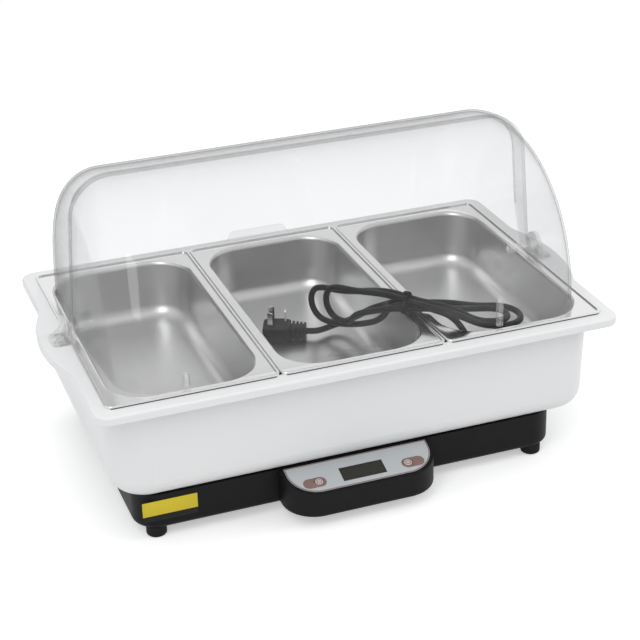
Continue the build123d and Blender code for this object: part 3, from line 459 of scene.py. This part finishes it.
@made_once
def display_window():
    """Dark window with the faint rows of an unlit display."""
    shade = bpy.context.scene.warmer_colours.display
    finish = Finish("display_window")
    rows = finish.node(
        "ShaderNodeTexWave",
        {"bands_direction": "X"},
        {"Vector": finish.places(), "Scale": 320.0, "Distortion": 0.0},
        output=1,
    )
    depth = finish.cloud(60.0, 1.0)
    base = finish.between(rows * 0.25 + depth * 0.75, scaled(shade, 0.85), scaled(shade, 1.2))
    return finish.close(
        finish.surface(base_color=base, roughness=0.16 + depth * 0.05, specular_ior_level=0.3)
    )


@made_once
def pad_tint():
    """Warm printed tint under the buttons."""
    shade = bpy.context.scene.warmer_colours.pad
    finish = Finish("pad_tint")
    dots = finish.cloud(900.0, 2.0)
    base = finish.between(dots, scaled(shade, 0.85), scaled(shade, 1.2))
    return finish.close(
        finish.surface(base_color=base, roughness=0.38 + dots * 0.08, specular_ior_level=0.3)
    )


@made_once
def button_cap(x, y, z):
    """Tinted cap with two darker rings round its middle, at x, y, z."""
    colours = bpy.context.scene.warmer_colours
    finish = Finish("button_cap")
    away = finish.node(
        "ShaderNodeVectorMath",
        {"operation": "DISTANCE"},
        {0: finish.places(), 1: (x, y, z)},
        output="Value",
    )
    inner_ring = (away > 2.2 * MM) * (away < 2.7 * MM)
    outer_ring = (away > 4.2 * MM) * (away < 5.7 * MM)
    ring = inner_ring + outer_ring
    clouding = finish.cloud(500.0, 2.0)
    base = finish.between(ring * 0.85 + clouding * 0.12, colours.button, scaled(colours.pad, 0.40))
    roughness = 0.14 + clouding * 0.08
    return finish.close(
        finish.surface(
            base_color=base, roughness=roughness, coat_weight=0.5, coat_roughness=0.05
        )
    )


@made_once
def label_print():
    """Blank yellow plate with a plain dark band along its foot."""
    colours = bpy.context.scene.warmer_colours
    finish = Finish("label_print")
    band_top = from_pans(0, 0, -136.6).z
    speckle = finish.cloud(700.0, 2.0)
    yellow = finish.between(speckle, scaled(colours.label, 0.93), scaled(colours.label, 1.07))
    base = finish.between(finish.along("Z") < band_top, yellow, (0.004, 0.004, 0.004))
    return finish.close(
        finish.surface(base_color=base, roughness=0.36 + speckle * 0.10, specular_ior_level=0.2)
    )


@made_once
def cord_sleeve():
    """Soft black sleeve with a satin skin and a little dust."""
    shade = bpy.context.scene.warmer_colours.cord
    finish = Finish("cord_sleeve")
    dust = finish.cloud(70.0, 4.0, 0.6)
    skin = finish.cloud(1600.0, 2.0)
    base = finish.between(dust, scaled(shade, 0.8), scaled(shade, 1.9))
    roughness = 0.34 + dust * 0.10
    relief = finish.bump(skin, 0.00003, 0.6)
    return finish.close(
        finish.surface(
            base_color=base, roughness=roughness, normal=relief, specular_ior_level=0.13
        )
    )


@made_once
def plated_metal(name, shade):
    """Bright plating with fine draw marks."""
    finish = Finish(name)
    marks = finish.cloud(300.0, 3.0, 0.6, (1.0, 1.0, 9.0))
    clouding = finish.cloud(90.0, 2.0)
    base = finish.between(clouding, scaled(shade, 0.88), scaled(shade, 1.08))
    roughness = 0.14 + marks * 0.16
    relief = finish.bump(marks, 0.00001, 0.5)
    return finish.close(
        finish.surface(base_color=base, metallic=1.0, roughness=roughness, normal=relief)
    )


def zinc_screws():
    """Dull zinc of the screws."""
    return plated_metal("zinc_screws", (0.42, 0.42, 0.43))


def plated_pins():
    """Bright plating of the plug's and the inlet's pins."""
    return plated_metal("plated_pins", tuple(bpy.context.scene.warmer_colours.pins))


@made_once
def soft_rubber(name, shade):
    """Matt rubber with a faint bloom."""
    finish = Finish(name)
    bloom = finish.cloud(120.0, 4.0, 0.6)
    base = finish.between(bloom, scaled(shade, 0.8), scaled(shade, 1.35))
    return finish.close(
        finish.surface(
            base_color=base,
            roughness=0.62 + bloom * 0.14,
            normal=finish.bump(bloom, 0.00005, 0.5),
            specular_ior_level=0.2,
        )
    )


@made_once
def plain_moulding(name, shade):
    """Plain moulded plastic inside the housing."""
    finish = Finish(name)
    skin = finish.cloud(900.0, 3.0)
    clouding = finish.cloud(40.0, 2.0)
    base = finish.between(clouding, scaled(shade, 0.88), scaled(shade, 1.12))
    relief = finish.bump(skin, 0.00004, 0.5)
    return finish.close(
        finish.surface(base_color=base, roughness=0.44 + skin * 0.12, normal=relief)
    )


@made_once
def circuit_laminate():
    """Green laminate with pale tracks under its lacquer."""
    finish = Finish("circuit_laminate")
    cells = finish.node(
        "ShaderNodeTexBrick",
        None,
        {
            "Vector": finish.places(),
            "Scale": 90.0,
            "Mortar Size": 0.06,
            "Color1": (0.012, 0.09, 0.035, 1.0),
            "Color2": (0.016, 0.11, 0.045, 1.0),
            "Mortar": (0.05, 0.20, 0.07, 1.0),
        },
    )
    weave = finish.cloud(1200.0, 2.0)
    base = finish.between(weave * 0.4, cells, (0.03, 0.14, 0.06))
    return finish.close(finish.surface(base_color=base, roughness=0.28 + weave * 0.10))


@made_once
def felted_fibre():
    """Pale felted pad."""
    finish = Finish("felted_fibre")
    fibres = finish.cloud(700.0, 6.0, 0.75, (1.0, 3.0, 1.0))
    base = finish.between(fibres, (0.48, 0.45, 0.38), (0.82, 0.80, 0.72))
    return finish.close(
        finish.surface(base_color=base, roughness=0.9, normal=finish.bump(fibres, 0.0006, 0.8))
    )


# Handling pieces


def select_nothing():
    """Leaves out every piece that is selected."""
    for other in list(bpy.context.selected_objects):
        other.select_set(False)


def only(piece):
    """Selects one piece and nothing else."""
    select_nothing()
    piece.select_set(True)
    bpy.context.view_layer.objects.active = piece


def close_shape():
    """Merges doubles, turns the faces outwards and leaves edit mode."""
    bpy.ops.mesh.select_all(action="SELECT")
    bpy.ops.mesh.remove_doubles(threshold=0.01 * MM)
    bpy.ops.mesh.normals_make_consistent(inside=False)
    bpy.ops.object.mode_set(mode="OBJECT")


def pick(piece, mode, wanted):
    """In edit mode, selects the faces, edges or corners that pass a test."""
    modes = ("VERT", "EDGE", "FACE")
    bpy.context.tool_settings.mesh_select_mode = tuple(mode == kind for kind in modes)
    bpy.ops.mesh.select_all(action="DESELECT")
    mesh = bmesh.from_edit_mesh(piece.data)
    parts = {"VERT": mesh.verts, "EDGE": mesh.edges, "FACE": mesh.faces}[mode]
    found = [part for part in parts if wanted(part)]
    if not found:
        raise RuntimeError(f"nothing to pick on {piece.name}")
    for part in found:
        part.select_set(True)
    mesh.select_flush_mode()
    bmesh.update_edit_mesh(piece.data)


def apply_modifier(piece, kind, **settings):
    """Adds a modifier with those settings and applies it."""
    only(piece)
    modifier = piece.modifiers.new(kind.lower(), kind)
    for name, value in settings.items():
        setattr(modifier, name, value)
    bpy.ops.object.modifier_apply(modifier=modifier.name)


def smooth(piece, angle=35.0):
    """Shades a piece smooth, save at edges sharper than that many degrees."""
    only(piece)
    bpy.ops.object.shade_smooth_by_angle(angle=math.radians(angle))


def finish_piece(piece, material, body="warmer", stands_for=()):
    """Gives a finished piece its place at the origin, its finish and its body."""
    only(piece)
    bpy.ops.object.transform_apply(location=True, rotation=True, scale=True)
    piece.data.materials.clear()
    piece.data.materials.append(material)
    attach(piece, body)
    if stands_for:
        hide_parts(*stands_for)


def dress(material, *nodes):
    """Gives CAD nodes their finish."""
    for name in nodes:
        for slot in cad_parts[name].material_slots:
            slot.material = material


def round_corners(radius, segments):
    """Rounds the selected corners of a flat face."""
    bpy.ops.mesh.bevel(
        offset=radius, offset_pct=0.0, affect="VERTICES", segments=segments, profile=0.5
    )


def flat_face(place, width, depth):
    """A flat face, in a piece of its own or in the piece that is open, left in edit mode."""
    if bpy.context.mode == "OBJECT":
        select_nothing()
    bpy.ops.mesh.primitive_plane_add(size=1.0, location=place)
    if bpy.context.object.mode != "EDIT":
        bpy.ops.object.mode_set(mode="EDIT")
    bpy.ops.transform.resize(value=(width, depth, 1.0), center_override=place)


def rounded_face(place, width, depth, corner, segments):
    """A flat face with rounded corners, left in edit mode."""
    flat_face(place, width, depth)
    round_corners(corner, segments)


def name_piece(name):
    """Names the piece that is being made and hands it over."""
    piece = bpy.context.object
    piece.name = name
    return piece


def step_in(inward, rise):
    """The selected face shrinks and rises, leaving a ring round it."""
    bpy.ops.mesh.inset(
        thickness=max(inward, 0.0), depth=rise, use_even_offset=True, use_boundary=True
    )


def step_along(profile):
    """Rings that follow a profile given as places inward and up."""
    for (inward, height), (next_inward, next_height) in zip(profile, profile[1:]):
        step_in(next_inward - inward, next_height - height)


def arc(centre, radius, start, end, steps):
    """A round part of a profile, between two angles in degrees."""
    places = []
    for i in range(steps + 1):
        turn = math.radians(start + (end - start) * i / steps)
        places.append((centre[0] + radius * math.cos(turn), centre[1] + radius * math.sin(turn)))
    return places


# Supply cord


def route_curve(name, points, diameter):
    """A round cord that follows its route as one smooth line."""
    data = bpy.data.curves.new(name, "CURVE")
    data.dimensions = "3D"
    data.resolution_u = 10
    data.bevel_depth = diameter / 2
    data.bevel_resolution = 6
    data.use_fill_caps = True
    line = data.splines.new("NURBS")
    line.points.add(len(points) - 1)
    for point, place in zip(line.points, points):
        point.co = (*from_pans(*place), 1.0)
    line.order_u = 3
    line.use_endpoint_u = True
    cord = bpy.data.objects.new(name, data)
    bpy.context.scene.collection.objects.link(cord)
    return cord


class WARMER_OT_cord(bpy.types.Operator):
    """Supply cord in its tied hank, with its plug and connector"""

    bl_idname = "warmer.cord"
    bl_label = "Supply cord"

    def execute(self, context):
        sizes = context.scene.warmer_sizes
        cord = route_curve("supply_cord", CORD_ROUTE, sizes.cord_diameter)
        cord.data.materials.append(cord_sleeve())
        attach(cord, "warmer")
        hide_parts("cord_hank")
        dress(cord_sleeve(), "cord_plug", "cord_connector")
        dress(soft_rubber("tie_sleeve", (0.006, 0.006, 0.006)), "cord_tie")
        dress(plated_pins(), "plug_pins")
        return {"FINISHED"}


# Food pans


# The flange's outer corners
PAN_CORNER = 8.0 * MM
CORNER_STEPS = 12
# The bead that stands along the flange's edge
BEAD_ROUND = 0.7 * MM
BEAD_HEIGHT = 1.8 * MM
BEAD_WIDTH = 3.2 * MM
BEAD_CREASE = 0.6 * MM
# From the pan's edge to its wall, and how the mouth and the floor round into that wall
FLANGE_WIDTH = 13.0 * MM
MOUTH_ROUND = 5.0 * MM
FLOOR_ROUND = 16.0 * MM
# Degrees that the wall leans inwards
WALL_SLANT = 3.5


def bead_profile(sheet):
    """From under the flange's edge, over the bead and down to the flange."""
    shoulder = BEAD_HEIGHT - BEAD_ROUND
    profile = [(0.0, -sheet), (0.0, shoulder)]
    profile += arc((BEAD_ROUND, shoulder), BEAD_ROUND, 180, 90, 4)[1:]
    profile += arc((BEAD_WIDTH - BEAD_ROUND, shoulder), BEAD_ROUND, 90, 0, 4)
    return profile + [(BEAD_WIDTH, 0.0), (BEAD_WIDTH + BEAD_CREASE, 0.0)]


def mouth_profile(depth):
    """From the flange, round the mouth and down the slanting wall to the floor."""
    slant = math.radians(WALL_SLANT)
    profile = arc((0.0, -MOUTH_ROUND), MOUTH_ROUND, 90, WALL_SLANT, 7)
    inward, height = profile[-1]
    wall_foot = depth - FLOOR_ROUND * (1 - math.sin(slant))
    inward += (wall_foot + height) * math.tan(slant)
    centre = (inward + FLOOR_ROUND * math.cos(slant), FLOOR_ROUND - depth)
    return profile + arc(centre, FLOOR_ROUND, 180 + WALL_SLANT, 270, 9)


def drawn_pan(name, x, sizes):
    """One pan: bead, flange, rounded mouth, slanting walls and floor."""
    middle = from_pans(x, 0, 0)
    foot = middle - Vector((0, 0, sizes.pan_sheet))
    rounded_face(foot, sizes.pan_width, sizes.pan_length, PAN_CORNER, CORNER_STEPS)
    pan = name_piece(name)
    step_along(bead_profile(sizes.pan_sheet))
    bpy.ops.mesh.delete(type="ONLY_FACE")
    both_flanges = 2 * (FLANGE_WIDTH - MOUTH_ROUND)
    rounded_face(
        middle,
        sizes.pan_width - both_flanges,
        sizes.pan_length - both_flanges,
        sizes.pan_corner,
        CORNER_STEPS,
    )
    step_along(mouth_profile(sizes.pan_depth))

    def on_flange(edge):
        """True for an open edge level with the flange's top."""
        return edge.is_boundary and all(
            abs(end.co.z - sizes.pan_sheet) < 0.001 * MM for end in edge.verts
        )

    pick(pan, "EDGE", on_flange)
    bpy.ops.mesh.bridge_edge_loops()
    close_shape()
    apply_modifier(pan, "SOLIDIFY", thickness=sizes.pan_sheet, offset=-1.0, use_even_offset=True)
    smooth(pan, 40.0)
    return pan


class WARMER_OT_pans(bpy.types.Operator):
    """Three drawn steel pans"""

    bl_idname = "warmer.pans"
    bl_label = "Food pans"

    def execute(self, context):
        sizes = context.scene.warmer_sizes
        for place, side in enumerate(("left", "middle", "right")):
            across = (place - 1) * sizes.pan_pitch / MM
            pan = drawn_pan(f"pan_{side}", across, sizes)
            finish_piece(pan, drawn_steel(), stands_for=(f"food_pan_{side}",))
        return {"FINISHED"}


# Basin, covers and base


class WARMER_OT_basin(bpy.types.Operator):
    """White water basin with its rim and grips"""

    bl_idname = "warmer.basin"
    bl_label = "Water basin"

    def execute(self, context):
        dress(white_plastic(), "water_basin")
        return {"FINISHED"}


class WARMER_OT_covers(bpy.types.Operator):
    """Clear covers, the pegs inside them and their hinges"""

    bl_idname = "warmer.covers"
    bl_label = "Covers and hinges"

    def execute(self, context):
        beyond_front, beyond_back = -1.0, 1.0
        # The rear cover's cut edge is its front one, the front cover's its back one
        edge = from_pans(0, 1.5, 18)
        rear = clear_cover("rear_cover_clear", beyond_front, edge.y, edge.z)
        dress(rear, "rear_cover")
        edge = from_pans(0, 16.9, 56)
        front = clear_cover("front_cover_clear", edge.y, beyond_back, edge.z)
        dress(front, "front_cover")
        dress(clear_fitting(), "cover_pegs")
        for side in ("left", "right"):
            for fitting in ("bracket", "cap", "pin"):
                dress(clear_fitting(), f"hinge_{fitting}_{side}")
        return {"FINISHED"}


# The label's place from the flange, and its form
LABEL_MIDDLE = (-205.15, -148.0, -131.75)
LABEL_CORNER = 0.8 * MM
LABEL_SHEET = 0.25 * MM
LABEL_BEVEL = (0.12 * MM, 0.08 * MM)


def label_plate(sizes):
    """A thin plate with rounded corners on the front of the base."""
    rounded_face((0, 0, 0), sizes.label_width, sizes.label_height, LABEL_CORNER, 4)
    plate = name_piece("base_label")
    step_in(0.0, LABEL_SHEET)
    step_in(*LABEL_BEVEL)
    bpy.ops.object.mode_set(mode="OBJECT")
    upright = Matrix.Rotation(math.radians(90), 4, "X")
    plate.matrix_world = Matrix.Translation(from_pans(*LABEL_MIDDLE)) @ upright
    smooth(plate)
    return plate


class WARMER_OT_base(bpy.types.Operator):
    """Black base with its feet, its floor plate, screws and blank label"""

    bl_idname = "warmer.base"
    bl_label = "Base"

    def execute(self, context):
        sizes = context.scene.warmer_sizes
        dress(black_plastic(), "base_housing", "bottom_plate", "control_housing")
        dress(soft_rubber("foot_rubber", (0.007, 0.007, 0.007)), "rubber_feet")
        dress(zinc_screws(), "foot_screws", "plate_screws", "module_screws")
        finish_piece(label_plate(sizes), label_print())
        return {"FINISHED"}


# Controls


# The tinted pads, and the room that each button has in its pad's hole
PAD_SHEET = 0.12 * MM
PAD_BEVEL = (0.1 * MM, 0.06 * MM)
HOLE_ROOM = 0.2 * MM


def button_pad(name, across, button_across, sizes):
    """A tinted pill on the panel, open where its button goes through."""
    almost_half = 0.499
    corner = sizes.pad_height * almost_half
    rounded_face((0, 0, 0), sizes.pad_width, sizes.pad_height, corner, 10)
    pad = name_piece(name)
    step_in(0.0, PAD_SHEET)
    step_in(*PAD_BEVEL)
    pick(pad, "EDGE", lambda edge: edge.is_boundary)
    bpy.ops.mesh.edge_face_add()
    close_shape()
    bpy.ops.mesh.primitive_cylinder_add(
        vertices=48,
        radius=sizes.button_radius + HOLE_ROOM,
        depth=2 * MM,
        location=((button_across - across) * MM, 0, 0),
    )
    cutter = bpy.context.object
    apply_modifier(pad, "BOOLEAN", object=cutter, operation="DIFFERENCE", solver="EXACT")
    bpy.data.objects.remove(cutter)
    pad.matrix_world = slope_placement(across, BUTTON_ROW, PANEL_FACE)
    smooth(pad)
    return pad


# The tinted line round the panel
BORDER_SPAN = (154.4 * MM, 37.8 * MM)
BORDER_CORNER = 30.2 * MM
BORDER_WIDTH = 1.0 * MM
BORDER_SHEET = 0.1 * MM
# How far up the slope its middle lies, in millimetres
BORDER_ROW = -21.2


def panel_border():
    """A thin tinted line along the panel's edge, straight behind and round in front."""
    flat_face((0, 0, 0), *BORDER_SPAN)
    border = name_piece("panel_border")
    pick(border, "VERT", lambda corner: corner.co.y < 0)
    round_corners(BORDER_CORNER, 14)
    bpy.ops.mesh.select_all(action="SELECT")
    step_in(BORDER_WIDTH, 0.0)
    bpy.ops.mesh.delete(type="ONLY_FACE")
    bpy.ops.object.mode_set(mode="OBJECT")
    apply_modifier(border, "SOLIDIFY", thickness=BORDER_SHEET, offset=1.0)
    border.matrix_world = slope_placement(0.0, BORDER_ROW, PANEL_FACE)
    smooth(border)
    return border


# The cap's ring stands just inside the button's edge, this many millimetres out of the slope
CAP_FOOT = 1.0
CAP_INSIDE_EDGE = 0.35 * MM
RING_ROUND = 0.45 * MM
RING_STEP = 0.25 * MM
# The low dome inside the ring, in millimetres inward and up
DOME = ((0.0, 0.0), (0.4, 0.22), (1.1, 0.46), (2.0, 0.64), (3.0, 0.74), (4.0, 0.78))


def button_top(name, across, sizes):
    """A raised ring with a low dome inside it."""
    select_nothing()
    radius = sizes.button_radius - CAP_INSIDE_EDGE
    bpy.ops.mesh.primitive_circle_add(
        vertices=48, radius=radius, fill_type="NGON", location=(0, 0, 0)
    )
    cap = name_piece(name)
    bpy.ops.object.mode_set(mode="EDIT")
    step_along([(0.0, 0.0)] + arc((RING_ROUND, 0.0), RING_ROUND, 180, 0, 6)[1:])
    step_in(RING_STEP, 0.0)
    step_along([(inward * MM, height * MM) for inward, height in DOME])
    bpy.ops.object.mode_set(mode="OBJECT")
    cap.matrix_world = slope_placement(across, BUTTON_ROW, CAP_FOOT)
    smooth(cap, 50.0)
    return cap


class WARMER_OT_controls(bpy.types.Operator):
    """Control panel with its display, buttons and tinted pads"""

    bl_idname = "warmer.controls"
    bl_label = "Controls"

    def execute(self, context):
        sizes = context.scene.warmer_sizes
        dress(panel_sheet(), "control_panel")
        dress(display_window(), "lcd_display")
        finish_piece(panel_border(), pad_tint())
        for name, across, pad_across in BUTTONS:
            middle = slope_placement(across, BUTTON_ROW, BUTTON_FACE).translation
            dress(button_cap(*middle), f"{name}_button")
            pad = button_pad(f"{name}_pad", pad_across, across, sizes)
            finish_piece(pad, pad_tint())
            cap = button_top(f"{name}_button_cap", across, sizes)
            finish_piece(cap, button_cap(*middle), body=f"{name}_button")
        return {"FINISHED"}


class WARMER_OT_inside(bpy.types.Operator):
    """Heater, boards and wiring inside the base"""

    bl_idname = "warmer.inside"
    bl_label = "Inner pieces"

    def execute(self, context):
        dress(drawn_steel(), "heating_plate", "clamp_dish")
        sheath = plated_metal("heater_sheath", (0.55, 0.53, 0.50))
        dress(sheath, "heating_element", "temperature_probe")
        dress(zinc_screws(), "clamp_screws", "board_screws")
        dress(plated_pins(), "inlet_pins")
        dress(soft_rubber("plate_silicone", (0.42, 0.10, 0.05)), "plate_gasket")
        dress(felted_fibre(), "insulation_pad")
        dress(circuit_laminate(), "control_board", "power_board")
        dark = plain_moulding("dark_moulding", (0.03, 0.03, 0.032))
        dress(dark, "button_switches", "power_relay", "appliance_inlet")
        pale = plain_moulding("pale_moulding", (0.55, 0.53, 0.48))
        dress(pale, "terminal_block", "thermal_cutout")
        dress(soft_rubber("wire_sleeves", (0.30, 0.03, 0.02)), "heater_wires")
        dress(soft_rubber("brown_sleeves", (0.10, 0.05, 0.03)), "mains_wires")
        dress(soft_rubber("grey_sleeve", (0.25, 0.25, 0.26)), "panel_cable")
        return {"FINISHED"}


# Stage


# Lamps: name, place, aimed at, width, height, power and whether they show in mirrors
LAMPS = (
    ("key_lamp", (-1.3, -1.5, 1.9), (0, 0, 0.1), 1.0, 2.2, 20.0, True),
    ("right_lamp", (1.7, -0.9, 1.3), (0, 0, 0.15), 0.9, 0.9, 8.0, False),
    ("top_lamp", (0.0, 0.3, 2.1), (0, 0, 0.1), 1.6, 1.0, 10.0, False),
)
# Cards: name, place, width, height and shade
CARDS = (
    ("card_left", (-1.7, 2.0, 0.9), 2.0, 1.7, (0.22, 0.22, 0.22)),
    ("card_front", (0.1, -2.6, 1.3), 2.6, 2.2, (0.70, 0.70, 0.70)),
)
CARDS_FACE = (0, 0, 0.2)
FLOOR_SIZE = 12.0
# The floor keeps its shadows up to the first distance and is plain white from the second
SHADOWS_TO = 1.0
PLAIN_FROM = 1.9
# Light passes up to this many faces of the covers, pegs and brackets behind one another
CLEAR_FACES = 24


def seen_directly(finish):
    """One for rays from the eye, straight, mirrored or through glass."""
    eye = finish.node("ShaderNodeLightPath", output="Is Camera Ray")
    mirrored = finish.node("ShaderNodeLightPath", output="Is Glossy Ray")
    through = finish.node("ShaderNodeLightPath", output="Is Transmission Ray")
    settings = {"operation": "ADD", "use_clamp": True}
    return finish.node("ShaderNodeMath", settings, {0: eye + mirrored, 1: through})


def floor_white():
    """White floor that keeps the warmer's shadow and fades to plain white far from it."""
    finish = Finish("floor_white")
    patches = finish.cloud(3.0, 2.0)
    base = finish.between(patches, (0.80, 0.80, 0.80), (0.82, 0.82, 0.82))
    matt = finish.node("ShaderNodeBsdfDiffuse", None, {"Color": base})
    lift = finish.glow(WHITE, 0.42)
    lifted = finish.node("ShaderNodeAddShader", None, {0: matt, 1: lift})
    away = finish.node(
        "ShaderNodeVectorMath", {"operation": "LENGTH"}, {0: finish.places()}, output="Value"
    )
    reach = {"Value": away, "From Min": SHADOWS_TO, "From Max": PLAIN_FROM}
    far = finish.node("ShaderNodeMapRange", None, reach)
    seen = finish.mixed(far, lifted, finish.glow(WHITE))
    return finish.close(finish.mixed(seen_directly(finish), matt, seen))


def white_room():
    """An even room that looks white and lights the object at a plain level."""
    room = Finish("white_room", bpy.data.worlds)
    daylight = {"Color": (0.97, 0.985, 1.0, 1.0), "Strength": 0.62}
    light = room.node("ShaderNodeBackground", None, daylight)
    look = room.node("ShaderNodeBackground", None, {"Color": WHITE, "Strength": 1.0})
    both = room.mixed(seen_directly(room), light, look)
    room.node("ShaderNodeOutputWorld", None, {"Surface": both})
    bpy.context.scene.world = room.owner


def aimed(place, target, axis):
    """The turn that points one axis of a thing from its place to another."""
    return (Vector(target) - Vector(place)).to_track_quat(axis, "Y").to_euler()


def lamp(name, place, target, width, height, power, mirrored):
    """A soft rectangular lamp turned towards a place."""
    data = bpy.data.lights.new(name, "AREA")
    data.shape = "RECTANGLE"
    data.size = width
    data.size_y = height
    data.energy = power
    made = bpy.data.objects.new(name, data)
    bpy.context.scene.collection.objects.link(made)
    made.location = place
    made.visible_glossy = mirrored
    made.rotation_euler = aimed(place, target, "-Z")


def grey_card(name, place, width, height, shade):
    """A card that shows only in the steel and the clear plastic, as a studio's darker side."""
    select_nothing()
    bpy.ops.mesh.primitive_plane_add(size=1.0, location=place)
    card = name_piece(name)
    card.scale = (width, height, 1.0)
    card.rotation_euler = aimed(place, CARDS_FACE, "Z")
    finish = Finish(name)
    uneven = finish.cloud(1.5, 2.0)
    tone = finish.between(uneven, scaled(shade, 0.85), scaled(shade, 1.15))
    card.data.materials.append(finish.close(finish.glow(tone)))
    card.visible_camera = card.visible_diffuse = card.visible_transmission = False
    card.visible_shadow = False


def photo_camera():
    """The camera stands where the photograph's stood."""
    data = bpy.data.cameras.new("photo_camera")
    data.lens = 95.48
    data.sensor_width = 36.0
    data.clip_start = 0.05
    data.clip_end = 50.0
    made = bpy.data.objects.new("photo_camera", data)
    bpy.context.scene.collection.objects.link(made)
    right = Vector((0.93699, -0.34849, -0.02479))
    up = Vector((0.17545, 0.40798, 0.89597))
    turn = Matrix((right, up, right.cross(up))).transposed().to_4x4()
    made.matrix_world = Matrix.Translation((-0.54213, -1.53821, 0.94446)) @ turn
    bpy.context.scene.camera = made


class WARMER_OT_stage(bpy.types.Operator):
    """Floor, lamps, room and camera"""

    bl_idname = "warmer.stage"
    bl_label = "Stage"

    def execute(self, context):
        context.scene.view_settings.view_transform = "Standard"
        select_nothing()
        bpy.ops.mesh.primitive_plane_add(size=FLOOR_SIZE, location=(0, 0, 0))
        floor = name_piece("stage_floor")
        bpy.ops.object.mode_set(mode="EDIT")
        bpy.ops.mesh.subdivide(number_cuts=3)
        bpy.ops.object.mode_set(mode="OBJECT")
        floor.data.materials.append(floor_white())
        white_room()
        for details in LAMPS:
            lamp(*details)
        for details in CARDS:
            grey_card(*details)
        context.scene.cycles.transparent_max_bounces = CLEAR_FACES
        photo_camera()
        return {"FINISHED"}


# Add-on


class WARMER_PT_sidebar(bpy.types.Panel):
    """Lists the warmer's pieces, sizes and colours"""

    bl_idname = "WARMER_PT_sidebar"
    bl_label = "Buffet warmer"
    bl_space_type = "VIEW_3D"
    bl_region_type = "UI"
    bl_category = "Warmer"

    def draw(self, context):
        for operator in OPERATORS:
            self.layout.operator(operator.bl_idname)
        for group in (context.scene.warmer_sizes, context.scene.warmer_colours):
            box = self.layout.box()
            for name in group.bl_rna.properties.keys():
                if name not in ("rna_type", "name"):
                    box.prop(group, name)


OPERATORS = (
    WARMER_OT_stage,
    WARMER_OT_cord,
    WARMER_OT_pans,
    WARMER_OT_basin,
    WARMER_OT_covers,
    WARMER_OT_base,
    WARMER_OT_controls,
    WARMER_OT_inside,
)
CLASSES = (WarmerSizes, WarmerColours, *OPERATORS, WARMER_PT_sidebar)


def register():
    for kind in CLASSES:
        bpy.utils.register_class(kind)
    bpy.types.Scene.warmer_sizes = bpy.props.PointerProperty(type=WarmerSizes)
    bpy.types.Scene.warmer_colours = bpy.props.PointerProperty(type=WarmerColours)


def unregister():
    del bpy.types.Scene.warmer_sizes
    del bpy.types.Scene.warmer_colours
    for kind in reversed(CLASSES):
        bpy.utils.unregister_class(kind)


def main():
    register()
    bpy.ops.warmer.stage()
    bpy.ops.warmer.cord()
    bpy.ops.warmer.pans()
    bpy.ops.warmer.basin()
    bpy.ops.warmer.covers()
    bpy.ops.warmer.base()
    bpy.ops.warmer.controls()
    bpy.ops.warmer.inside()
    bpy.context.view_layer.update()


if __name__ == "__main__":
    main()
